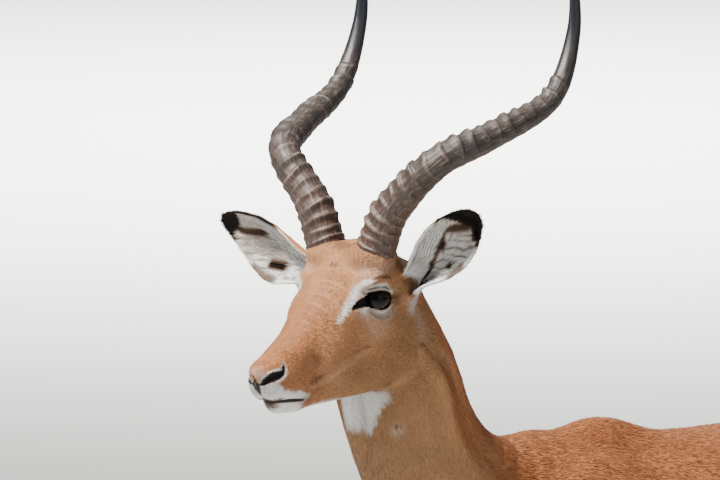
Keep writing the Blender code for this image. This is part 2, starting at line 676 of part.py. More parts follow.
def ear_mesh(side):
    """A leaf-shaped ear, curled to a tube at its root, with a real thickness."""
    root, tip, opening, across = ear_axes(side)
    rows = EAR_ROWS
    columns = EAR_COLUMNS
    mesh = bmesh.new()
    grid = []
    for i in range(rows):
        place = i / (rows - 1)
        half, curl = (np.interp(place, [r[0] for r in EAR_SHAPE], [r[c] for r in EAR_SHAPE])
                      for c in (1, 2))
        radius = half * EAR_BREADTH[side] / curl
        bow = EAR_BOWS[side] * math.sin(math.pi * place)
        middle = root + (tip - root) * place + across * bow
        row = []
        for j in range(columns):
            turn = curl * ((1 + EAR_MEDIAL[side]) * j / (columns - 1) - EAR_MEDIAL[side])
            point = (middle + across * radius * math.sin(turn)
                     + opening * radius * (0.55 - math.cos(turn)))
            point[1] *= side
            row.append(mesh.verts.new((HEAD_PLAIN.outward(point)[0] * CM).tolist()))
        grid.append(row)
    for low, high in zip(grid, grid[1:]):
        for j in range(columns - 1):
            face = (low[j], low[j + 1], high[j + 1], high[j])
            mesh.faces.new(face if side == 1 else face[::-1])
    return finished(mesh, "ear")


def add_ear(side, name):
    """The ear sheet thickened."""
    ear = add_object(name, ear_mesh(side))
    wall = ear.modifiers.new("thickness", "SOLIDIFY")
    wall.thickness = EAR_THICK * CM
    wall.offset = 0
    apply_modifiers(ear)
    return ear


def add_eye(side, name):
    """An eyeball."""
    mesh = bmesh.new()
    bmesh.ops.create_uvsphere(mesh, u_segments=12, v_segments=7, radius=EYE_RADIUS * CM)
    eye = add_object(name, finished(mesh, "eye"))
    f, l, u = EYE_AT
    place = HEAD_PLAIN.outward((f, l * side, u))[0] * CM
    eye.data.transform(mathutils.Matrix.Translation(place.tolist()))
    return eye


# ---------------------------------------------------------------- where the flesh is parted


def body_plane(point, normal):
    """A cut on the body: what lies ahead of the normal is taken away."""
    return np.array(point, float) @ BODY.axes, np.array(normal, float) @ BODY.axes


def head_plane(point, normal):
    """A cut on the head."""
    return HEAD_PLAIN.outward(point)[0], np.array(normal, float) @ HEAD.axes


def flipped(plane):
    """The same cut, keeping its other side."""
    return plane[0], -plane[1]


POLL_CUT = head_plane((-6.3, 0, 0.0), (-0.95, 0, -0.31))
THROAT_CUT = head_plane((3.2, 0, -10.5), (0.05, 0, -1.0))
JAW_CUT = head_plane((16.2, 0, -6.15), (-0.03, 0, -1.0))
MUZZLE_CUT = head_plane((8.6, 0, -3.0), (1.0, 0, 0.15))
NECK_CUT = body_plane((18.5, 0, 80.0), (0.80, 0, 0.60))
CHEST_CUT = body_plane((-12.0, 0, 70.0), (-1.0, 0, 0.0))
LOIN_CUT = body_plane((-39.2, 0, 62.0), (-1.0, 0, -0.12))
FLOOR = body_plane((0, 0, 0), (0, 0, -1))


def fore_leg_cut(side):
    """From the armpit up and out over the elbow."""
    return body_plane((7.0, 5.0 * side, 55.0), (0.0, 0.82 * side, -0.57))


def hind_leg_cut(side):
    """From the flank up and back over the haunch."""
    return body_plane((-46.0, 4.5 * side, 61.0), (-0.33, 0.68 * side, -0.65))


def middle_cut(side, at=0.0):
    """Keeps one side of an upright plane along the body."""
    return body_plane((0, at * side, 0), (0, -side, 0))


def moved(plane, distance):
    """The same cut, further along its normal."""
    normal = plane[1] / np.linalg.norm(plane[1])
    return plane[0] + normal * distance, plane[1]


def level_cuts(top, bottom):
    """Keeps a leg between two heights."""
    cuts = []
    if top is not None:
        cuts.append(body_plane((0, 0, top), (0, 0, 1)))
    if bottom is not None:
        cuts.append(body_plane((0, 0, bottom), (0, 0, -1)))
    return cuts


def coronet_cut(ankle_forward):
    """Keeps the claws below the slanting edge where the hair ends."""
    return body_plane((ankle_forward + 2.2, 0, CORONET), (-0.38, 0, 0.92))


def box_on_body(forward, left, up):
    """Lowest and highest world corner of ranges given on the body."""
    corners = np.array([forward, left, up]).T @ BODY.axes
    return corners.min(axis=0), corners.max(axis=0)


HEAD_BOX = box_on_body((22, 56), (-8, 16), (90, 118))


def flesh_piece(name, form, box, size, faces, cuts):
    """One region of the form, thinned out and parted from its neighbours."""
    piece = add_object(name, bpy.data.meshes.new(name))
    for attempt in range(CUT_ATTEMPTS):
        piece.data = form_mesh(form, box[0], box[1], size, GRID_SHIFT * size * attempt)
        thin_out(piece, faces + MORE_FACES * attempt)
        mesh = cut_once(piece.data, cuts, NUDGE * attempt)
        if is_closed(mesh):
            break
        mesh.free()
    else:
        raise ValueError(name + " has no clean cut")
    mesh.to_mesh(piece.data)
    mesh.free()
    return piece


def add_head_pieces(form):
    """Head, muzzle and lower jaw, with pockets for horns, ears and eyes."""
    skull_cuts = [POLL_CUT, JAW_CUT, MUZZLE_CUT]
    skull = flesh_piece("head", form, HEAD_BOX, 0.45, 1500, skull_cuts)
    flesh_piece("muzzle", form, HEAD_BOX, 0.4, 1950, [flipped(MUZZLE_CUT), JAW_CUT])
    flesh_piece("lower_jaw", form, HEAD_BOX, 0.45, 1400, [flipped(JAW_CUT), POLL_CUT, THROAT_CUT])
    for side, word in ((1, "left"), (-1, "right")):
        socket(skull, add_object("horn_" + word, horn_mesh(side)))
        socket(skull, add_ear(side, "ear_" + word))
        socket(skull, add_eye(side, "eye_" + word))


def add_neck_piece(form):
    """The neck, with the head's own wedge of space taken out of it."""
    neck_box = box_on_body((0, 48), (-10, 14), (62, 112))
    neck = flesh_piece("neck", form, neck_box, 0.8, 760, [flipped(NECK_CUT)])
    block = bmesh.new()
    bmesh.ops.create_cube(block, size=60 * CM)
    wedge = bpy.data.objects.new("head_space", finished(block, "head_space"))
    wedge.data.transform(mathutils.Matrix.Translation((HEAD.origin * CM).tolist()))
    cut = cut_once(wedge.data, [moved(POLL_CUT, GAP), moved(THROAT_CUT, GAP)], 0.0)
    cut.to_mesh(wedge.data)
    cut.free()
    take_away(neck, wedge)


def add_fore_pieces(form, side, word):
    """One fore leg in five pieces."""
    frame_box = box_on_body((-0.5, 22), (2.2 * side, 15 * side), (-2, 66))
    ahead = 8.4 + STRIDES_FORE[side] * (1 - 11.3 / ELBOW)
    foot_box = box_on_body((ahead - 5, ahead + 11), (2.5 * side, 11 * side), (-2, 17))
    claw_top = coronet_cut(ahead)
    flesh_piece("forearm_" + word, form, frame_box, 0.65, 380,
                [flipped(fore_leg_cut(side)), middle_cut(side), *level_cuts(None, 36.5)])
    flesh_piece("fore_cannon_" + word, form, frame_box, 0.5, 480,
                [middle_cut(side), *level_cuts(36.5, 13.8)])
    flesh_piece("fore_foot_" + word, form, foot_box, 0.4, 190,
                [*level_cuts(13.8, None), flipped(claw_top)])
    for inner, place in ((True, "inner"), (False, "outer")):
        cleft = middle_cut(side, LEG_SPREAD_FORE)
        flesh_piece(f"fore_hoof_{word}_{place}", form, foot_box, 0.35, 220,
                    [claw_top, FLOOR, flipped(cleft) if inner else cleft])


def add_hind_pieces(form, side, word):
    """One hind leg in six pieces."""
    frame_box = box_on_body((-76, -38), (0.0, 15 * side), (-2, 80))
    ahead = -67.9 + STRIDES_HIND[side] * (1 - 11.8 / STIFLE)
    foot_box = box_on_body((ahead - 5, ahead + 11), (2.5 * side, 11 * side), (-2, 17))
    claw_top = coronet_cut(ahead)
    flesh_piece("thigh_" + word, form, frame_box, 0.8, 380,
                [flipped(hind_leg_cut(side)), flipped(LOIN_CUT), middle_cut(side),
                 *level_cuts(None, 51.0)])
    flesh_piece("shank_" + word, form, frame_box, 0.6, 500,
                [middle_cut(side), *level_cuts(51.0, 34.5)])
    flesh_piece("hind_cannon_" + word, form, frame_box, 0.5, 720,
                [middle_cut(side), *level_cuts(34.5, 14.4)])
    flesh_piece("hind_foot_" + word, form, foot_box, 0.4, 190,
                [*level_cuts(14.4, None), flipped(claw_top)])
    for inner, place in ((True, "inner"), (False, "outer")):
        cleft = middle_cut(side, LEG_SPREAD_HIND)
        flesh_piece(f"hind_hoof_{word}_{place}", form, foot_box, 0.35, 220,
                    [claw_top, FLOOR, flipped(cleft) if inner else cleft])


def add_trunk_pieces(form):
    """Chest, barrel and rump, and the tail in its socket."""
    chest_box = box_on_body((-15, 30), (-16, 16), (48, 97))
    legs = [fore_leg_cut(1), fore_leg_cut(-1)]
    flesh_piece("chest", form, chest_box, 1.0, 640, [NECK_CUT, CHEST_CUT, *legs])
    barrel_box = box_on_body((-46, -9), (-16, 16), (48, 97))
    flesh_piece("barrel", form, barrel_box, 1.2, 268, [flipped(CHEST_CUT), LOIN_CUT])
    rump_box = box_on_body((-76, -36), (-16, 16), (52, 97))
    legs = [hind_leg_cut(1), hind_leg_cut(-1)]
    rump = flesh_piece("rump", form, rump_box, 1.0, 640, [flipped(LOIN_CUT), *legs])
    tail_box = box_on_body((-80, -60), (-6, 6), (48, 90))
    tail = flesh_piece("tail", tail_form(), tail_box, 0.55, 140, [])
    socket(rump, tail)


# ---------------------------------------------------------------- finishes and assembly

FINISHES = {                     # colour, roughness
    "saddle_coat": ((0.42, 0.17, 0.065), 0.6),
    "flank_coat": ((0.56, 0.32, 0.16), 0.65),
    "white_coat": ((0.80, 0.77, 0.72), 0.7),
    "ear_coat": ((0.62, 0.52, 0.44), 0.7),
    "horn": ((0.13, 0.10, 0.085), 0.45),
    "hoof": ((0.035, 0.03, 0.028), 0.4),
    "eye": ((0.012, 0.009, 0.008), 0.06),
}


def finish(name):
    """One finish as a Principled material."""
    colour, roughness = FINISHES[name]
    material = bpy.data.materials.get(name) or bpy.data.materials.new(name)
    material.use_nodes = True
    shader = material.node_tree.nodes["Principled BSDF"]
    shader.inputs["Base Color"].default_value = (*colour, 1.0)
    shader.inputs["Roughness"].default_value = roughness
    shader.inputs["Metallic"].default_value = 0.0
    return material


def finish_of(node):
    """The finish that a node takes from its name."""
    words = {"horn": "horn", "hoof": "hoof", "eye": "eye", "ear": "ear_coat",
             "tail": "white_coat"}
    for word, name in words.items():
        if word in node.split("_"):
            return name
    saddle = ("head", "muzzle", "lower_jaw", "neck", "chest", "barrel", "rump")
    return "saddle_coat" if node in saddle else "flank_coat"


def start_afresh():
    """Empty the scene and make the two collections."""
    for old in list(bpy.data.objects):
        bpy.data.objects.remove(old)
    for name in (COLLECTION, CUTTERS):
        collection = bpy.data.collections.get(name) or bpy.data.collections.new(name)
        if name not in bpy.context.scene.collection.children:
            bpy.context.scene.collection.children.link(collection)


def stand_on_origin(pieces):
    """Place every piece so that the whole stands with its middle over the origin."""
    corners = np.array([v.co for piece in pieces for v in piece.data.vertices])
    low = corners.min(axis=0)
    high = corners.max(axis=0)
    shift = (-(low[0] + high[0]) / 2, -(low[1] + high[1]) / 2, -low[2])
    for piece in pieces:
        piece.location = shift


def main():
    """Build every piece, dress it and stand the animal on the floor."""
    start_afresh()
    form = whole_form()
    add_head_pieces(form)
    add_neck_piece(form)
    add_trunk_pieces(form)
    for side, word in ((1, "left"), (-1, "right")):
        add_fore_pieces(form, side, word)
        add_hind_pieces(form, side, word)
    pieces = list(bpy.data.collections[COLLECTION].objects)
    for piece in pieces:
        piece.data.materials.clear()
        piece.data.materials.append(finish(finish_of(piece.name)))
        piece.data.shade_smooth()
        piece.data.set_sharp_from_angle(angle=math.radians(38))
    stand_on_origin(pieces)


main()
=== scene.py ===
"""Skin, coat, horns, eyes and hooves of a standing impala ram, on a pale floor in soft light."""

import functools
import json
import logging
import math
from collections.abc import Callable, Sequence
from dataclasses import dataclass, field
from enum import Enum

import bpy
import numpy as np
from mathutils import Matrix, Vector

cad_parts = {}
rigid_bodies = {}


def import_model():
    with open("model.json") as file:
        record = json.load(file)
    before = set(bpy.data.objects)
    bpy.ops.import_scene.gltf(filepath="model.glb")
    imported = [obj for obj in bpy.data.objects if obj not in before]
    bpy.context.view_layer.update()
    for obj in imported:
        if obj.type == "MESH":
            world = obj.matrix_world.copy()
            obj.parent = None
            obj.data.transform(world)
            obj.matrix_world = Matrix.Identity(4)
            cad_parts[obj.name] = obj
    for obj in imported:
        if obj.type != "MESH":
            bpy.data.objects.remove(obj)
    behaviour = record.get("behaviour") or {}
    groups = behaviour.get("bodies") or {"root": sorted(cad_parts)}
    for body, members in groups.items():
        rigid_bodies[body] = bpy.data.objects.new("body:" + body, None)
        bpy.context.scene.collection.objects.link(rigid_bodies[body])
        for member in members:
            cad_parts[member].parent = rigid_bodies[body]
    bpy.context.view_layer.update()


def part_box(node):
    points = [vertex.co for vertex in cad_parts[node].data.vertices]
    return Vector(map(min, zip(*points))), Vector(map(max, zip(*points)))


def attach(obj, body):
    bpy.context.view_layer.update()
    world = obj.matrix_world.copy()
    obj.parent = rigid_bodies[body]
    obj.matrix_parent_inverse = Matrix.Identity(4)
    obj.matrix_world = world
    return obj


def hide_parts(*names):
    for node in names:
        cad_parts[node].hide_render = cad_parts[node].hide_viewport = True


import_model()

LOG = logging.getLogger("impala")
CM = 0.01
Array = np.ndarray
Rows = Sequence[Sequence[float]]
Triple = tuple[float, float, float]
Material = bpy.types.Material
Socket = bpy.types.NodeSocket


class Side(Enum):
    """The animal's own left and right."""

    LEFT = 1
    RIGHT = -1

    @property
    def word(self) -> str:
        """The side's word in piece names."""
        return self.name.lower()


# ---- measures shared with the solids

WITHERS = 90.0
BREAST = 53.0
ELBOW = 57.0
STIFLE = 60.0
CORONET = 4.4
LEG_SPREAD_FORE = 6.8
LEG_SPREAD_HIND = 6.2
FORE_FETLOCK = 8.4
FORE_FETLOCK_UP = 11.3
HIND_FETLOCK = -67.9
HIND_FETLOCK_UP = 11.8
STRIDES_FORE = {1: 3.0, -1: -1.5}
STRIDES_HIND = {1: -2.0, -1: 3.5}
HEAD_AT = (35.6, 4.0, 105.9)
HEAD_YAW = 17.7
HEAD_PITCH = 12.1
HEAD_ROLL = -0.8
EYE_AT = (-0.05, 3.5, 0.1)
EYE_RADIUS = 1.7
LID_THICKNESS = 0.22
INSIDE_HOOF = 0.7
BRUSH_END = 54.0
HORN_RADIUS = 2.1
HORN_RINGS = 20


# ---- places and shapes


def turned(yaw: float, pitch: float, roll: float) -> Array:
    """Rows that point forward, left and up after a yaw to the left, a pitch down and a roll.

    Args:
        yaw: degrees to the animal's left.
        pitch: degrees nose down.
        roll: degrees about the forward axis.

    Returns:
        A 3 by 3 array of unit rows.
    """
    y, p, r = (math.radians(v) for v in (yaw, pitch, roll))
    forward = np.array([-math.cos(y) * math.cos(p), -math.sin(y) * math.cos(p), -math.sin(p)])
    level = np.array([math.sin(y), -math.cos(y), 0.0])
    left = level * math.cos(r) - np.cross(forward, level) * math.sin(r)
    return np.array([forward, left, np.cross(forward, left)])


def rotation(about_forward: float, about_left: float, about_up: float) -> Array:
    """The matrix that turns a shape about the forward, left and up axes in turn."""
    a, b, c = (math.radians(v) for v in (about_forward, about_left, about_up))
    one = np.array([[1, 0, 0], [0, math.cos(a), -math.sin(a)], [0, math.sin(a), math.cos(a)]])
    two = np.array([[math.cos(b), 0, math.sin(b)], [0, 1, 0], [-math.sin(b), 0, math.cos(b)]])
    three = np.array([[math.cos(c), -math.sin(c), 0], [math.sin(c), math.cos(c), 0], [0, 0, 1]])
    return three @ two @ one


def unit(vector: Sequence[float]) -> Array:
    """The vector at length one."""
    vector = np.asarray(vector, float)
    return vector / np.linalg.norm(vector)


def units(rows: Array) -> Array:
    """Each row at length one."""
    return rows / np.maximum(np.linalg.norm(rows, axis=1, keepdims=True), 1e-9)


def rise(low: float, high: float, value: Array) -> Array:
    """A smooth step from 0 at low to 1 at high; low may be the greater."""
    t = np.clip((value - low) / (high - low), 0.0, 1.0)
    return t * t * (3.0 - 2.0 * t)


def between(low: float, high: float, soft: float, value: Array) -> Array:
    """1 between two values, fading over soft on either side."""
    return rise(low - soft, low + soft, value) * rise(high + soft, high - soft, value)


def most(*values: Array) -> Array:
    """The greatest of several values, point by point."""
    return functools.reduce(np.maximum, values)


def slope_of(field_at: Callable[[Array], Array], points: Array, probe: float) -> Array:
    """A field's slope at scattered points, felt out over a probe's length each way."""
    return np.stack([field_at(points + probe * axis) - field_at(points - probe * axis)
                     for axis in np.eye(3)], axis=1) / (2 * probe)


@dataclass(frozen=True)
class Axes:
    """A place with its own forward, left and up, in centimetres; side 0 is both sides alike."""

    origin: Array
    rows: Array
    side: int = 0

    def inward(self, x: Array, y: Array, z: Array) -> tuple[Array, Array, Array]:
        """World coordinates to these axes'."""
        x = x - self.origin[0]
        y = y - self.origin[1]
        z = z - self.origin[2]
        forward, left, up = (x * a[0] + y * a[1] + z * a[2] for a in self.rows)
        if self.side == 0:
            return forward, np.abs(left), up
        return forward, left * self.side, up

    def outward(self, points: Array) -> Array:
        """Points on these axes, on the side or sides that they stand for, in the world."""
        points = np.atleast_2d(np.asarray(points, float))
        sides = (1, -1) if self.side == 0 else (self.side,)
        return np.concatenate([(points * [1, s, 1]) @ self.rows + self.origin for s in sides])

    def signed(self, points: Array) -> Array:
        """World points on these axes, left and right told apart."""
        return (points - self.origin) @ self.rows.T

    def folded(self, points: Array) -> Array:
        """World points on these axes, on the side or sides that they stand for."""
        return np.stack(self.inward(*points.T), axis=1)

    def one_side(self, side: int) -> "Axes":
        """The same axes for one side alone."""
        return Axes(self.origin, self.rows, side)

    def facing(self, direction: Sequence[float]) -> Array:
        """A direction on these axes, in the world."""
        sign = self.side or 1
        return (np.asarray(direction, float) * [1, sign, 1]) @ self.rows


BODY = Axes(np.zeros(3), turned(0, 0, 0))
HEAD = Axes(np.array([-HEAD_AT[0], -HEAD_AT[1], HEAD_AT[2]]),
            turned(HEAD_YAW, HEAD_PITCH, HEAD_ROLL))


def head_in_body(point: Sequence[float]) -> tuple[float, ...]:
    """A place on the head, in the body's own forward, left and up."""
    return tuple((np.array(point, float) @ HEAD.rows + HEAD.origin) @ BODY.rows.T)


def melt(a: Array, b: Array, width: float) -> Array:
    """The smaller of two distances, rounded where they are within width."""
    h = np.clip(0.5 + 0.5 * (b - a) / width, 0.0, 1.0)
    return b + (a - b) * h - width * h * (1.0 - h)


def smooth_rows(rows: Rows, per: int) -> Array:
    """A smooth run of rows through the given ones, per rows to each span."""
    rows = np.asarray(rows, float)
    ends = np.vstack([2 * rows[0] - rows[1], rows, 2 * rows[-1] - rows[-2]])
    t = np.linspace(0, 1, per, endpoint=False)[:, None]
    spans = []
    for a, b, c, d in zip(ends, ends[1:], ends[2:], ends[3:]):
        bend = 2 * a - 5 * b + 4 * c - d
        twist = 3 * b - a - 3 * c + d
        spans.append(0.5 * (2 * b + (c - a) * t + bend * t ** 2 + twist * t ** 3))
    return np.vstack(spans + [rows[-1:]])


class Oval:
    """An ellipsoid: centre, half lengths, and a turn about forward, left and up."""

    def __init__(self, axes: Axes, centre: Sequence[float], radii: Sequence[float],
                 turn: Sequence[float] = (0, 0, 0)) -> None:
        """Place it on its axes."""
        self.axes = axes
        self.centre = np.array(centre, float)
        self.radii = np.array(radii, float)
        self.turn = rotation(*turn)
        signs = np.array([[i, j, k] for i in (-1, 1) for j in (-1, 1) for k in (-1, 1)])
        reach = axes.outward(signs * self.radii @ self.turn.T + self.centre)
        self.low = reach.min(axis=0)
        self.high = reach.max(axis=0)

    def distance(self, x: Array, y: Array, z: Array) -> Array:
        """Distance to the surface, negative inside."""
        local = [v - c for v, c in zip(self.axes.inward(x, y, z), self.centre)]
        scaled = []
        for i, radius in enumerate(self.radii):
            scaled.append(sum(v * self.turn[j, i] for j, v in enumerate(local)) / radius)
        near = np.sqrt(sum(v * v for v in scaled)) + 1e-9
        slope = np.sqrt(sum((v / r) ** 2 for v, r in zip(scaled, self.radii))) + 1e-9
        return near * (near - 1.0) / slope


class Loft:
    """A limb of oval sections: rows of forward, left, up, half width, half depth."""

    def __init__(self, axes: Axes, rows: Rows, per: int = 2) -> None:
        """Smooth the rows and find the room they take."""
        self.axes = axes
        self.rows = smooth_rows(rows, per)
        reach = axes.outward(self.rows[:, :3])
        margin = self.rows[:, 3:].max()
        self.low = reach.min(axis=0) - margin
        self.high = reach.max(axis=0) + margin

    def distance(self, x: Array, y: Array, z: Array) -> Array:
        """Distance to the surface, negative inside."""
        place = self.axes.inward(x, y, z)
        nearest = None
        for a, b in zip(self.rows[:-1], self.rows[1:]):
            run = b[:3] - a[:3]
            length = math.sqrt(run @ run)
            along = run / length
            across = unit(np.array([0.0, 1.0, 0.0]) - along * along[1])
            deep = np.cross(along, across)
            p = [v - c for v, c in zip(place, a)]
            t = np.clip(sum(v * c for v, c in zip(p, along)) / length, 0, 1)
            off = [v - t * length * c for v, c in zip(p, along)]
            wide = a[3] + t * (b[3] - a[3])
            tall = a[4] + t * (b[4] - a[4])
            end = np.minimum(wide, tall)
            parts = [sum(v * c for v, c in zip(off, axis)) / size
                     for axis, size in ((across, wide), (deep, tall), (along, end))]
            near = np.sqrt(sum(v * v for v in parts)) + 1e-9
            slope = np.sqrt(sum((v / s) ** 2 for v, s in zip(parts, (wide, tall, end)))) + 1e-9
            value = near * (near - 1.0) / slope
            nearest = value if nearest is None else np.minimum(nearest, value)
        return nearest


@dataclass(frozen=True)
class Ear:
    """A leaf-shaped ear: a curled sheet with a real thickness."""

    side: int
    root: Array
    tip: Array
    face: Array
    bow: float
    medial: float
    breadth: float
    thick: float = 0.28
    shape: tuple[Triple, ...] = (
        (0.0, 2.8, 2.4), (0.15, 3.5, 2.35), (0.25, 4.1, 2.2), (0.39, 4.75, 1.75),
        (0.53, 4.85, 1.4), (0.68, 4.15, 1.15), (0.81, 3.0, 0.95), (0.91, 2.0, 0.8),
        (0.97, 1.15, 0.7), (1.0, 0.5, 0.6))

    @property
    def length(self) -> float:
        """From root to tip."""
        return float(np.linalg.norm(self.tip - self.root))

    @property
    def basis(self) -> tuple[Array, Array, Array]:
        """Along the ear, the way it opens, and across it, on the head's left."""
        along = unit(self.tip - self.root)
        opening = unit(self.face - along * (along @ self.face))
        return along, opening, np.cross(along, opening)

    def reach(self) -> tuple[Array, Array]:
        """Lowest and highest corner of the ear's surroundings in the world."""
        ends = HEAD.one_side(self.side).outward(np.array([self.root, self.tip]))
        return ends.min(axis=0) - 5.0, ends.max(axis=0) + 5.0

    def near(self, points: Array) -> Array:
        """The numbers of the world points that lie round the ear."""
        low, high = self.reach()
        return np.flatnonzero(np.all((points > low) & (points < high), axis=1))

    def section(self, place: Array) -> tuple[Array, Array, Array]:
        """Half width unrolled, half angle of the curl and radius at a place along the ear."""
        steps = [row[0] for row in self.shape]
        half = self.breadth * np.interp(place, steps, [row[1] for row in self.shape])
        curl = np.interp(place, steps, [row[2] for row in self.shape])
        return half, curl, half / curl

    def locate(self, x: Array, y: Array, z: Array) -> dict[str, Array]:
        """Where world points lie on the ear.

        Returns:
            place along it, across (from -1 at the upper rim to 1 at the lower), out (distance
            from the sheet's middle, positive on the back) and sheet (distance to it).
        """
        local = [v - c for v, c in zip(HEAD.one_side(self.side).inward(x, y, z), self.root)]
        s, o, a = (sum(v * c for v, c in zip(local, axis)) for axis in self.basis)
        place = np.clip(s / self.length, 0.0, 1.0)
        a = a - self.bow * np.sin(math.pi * place)
        half, curl, radius = self.section(place)
        o = o - 0.55 * radius
        turn = np.arctan2(a, -o)
        least = -curl * self.medial
        held = np.clip(turn, least, curl)
        rim_a = radius * np.sin(held)
        rim_o = -radius * np.cos(held)
        beyond = np.hypot(a - rim_a, o - rim_o)
        over = np.maximum(np.maximum(s - self.length, -1.5 - s), 0.0)
        inside_curl = (turn <= curl) & (turn >= least)
        out = np.hypot(a, o) - radius
        sheet = np.where(inside_curl, np.abs(out), beyond)
        return {"place": place, "across": np.where(turn < 0, -turn / least, turn / curl),
                "out": out, "sheet": np.hypot(sheet, over)}

    def distance(self, x: Array, y: Array, z: Array) -> Array:
        """Distance to the ear's surface, negative inside."""
        return self.locate(x, y, z)["sheet"] - self.thick / 2

    @property
    def low(self) -> Array:
        """Lowest corner."""
        return self.reach()[0]

    @property
    def high(self) -> Array:
        """Highest corner."""
        return self.reach()[1]


EAR_ROOT = np.array([-4.2, 5.3, 0.8])
EARS = (
    Ear(1, EAR_ROOT, np.array([-0.9, 17.5, 9.8]), np.array([0.82, 0.18, -0.54]), -0.3,
        0.5, 0.92),
    Ear(-1, EAR_ROOT, np.array([-4.5, 19.3, 6.0]), np.array([0.98, 0.09, -0.19]), 0.3,
        0.6, 1.0))


Shape = Oval | Loft | Ear


class Form:
    """Shapes melted together, each with the width of its own blend."""

    FAR = 40.0               # the distance given where no shape is near
    REACH = 3.0              # how far from its box a shape is still worked out

    def __init__(self) -> None:
        """Start with nothing."""
        self.shapes: list[tuple[Shape, float]] = []

    def add(self, shape: Shape, blend: float) -> None:
        """Melt one more shape in."""
        self.shapes.append((shape, blend))

    def at(self, points: Array) -> Array:
        """Distances at scattered points."""
        out = np.full(len(points), self.FAR)
        for shape, blend in self.shapes:
            pad = blend + self.REACH
            near = np.all((points > shape.low - pad) & (points < shape.high + pad), axis=1)
            if near.any():
                out[near] = melt(out[near], shape.distance(*points[near].T), blend)
        return out


# ---- the animal's own form


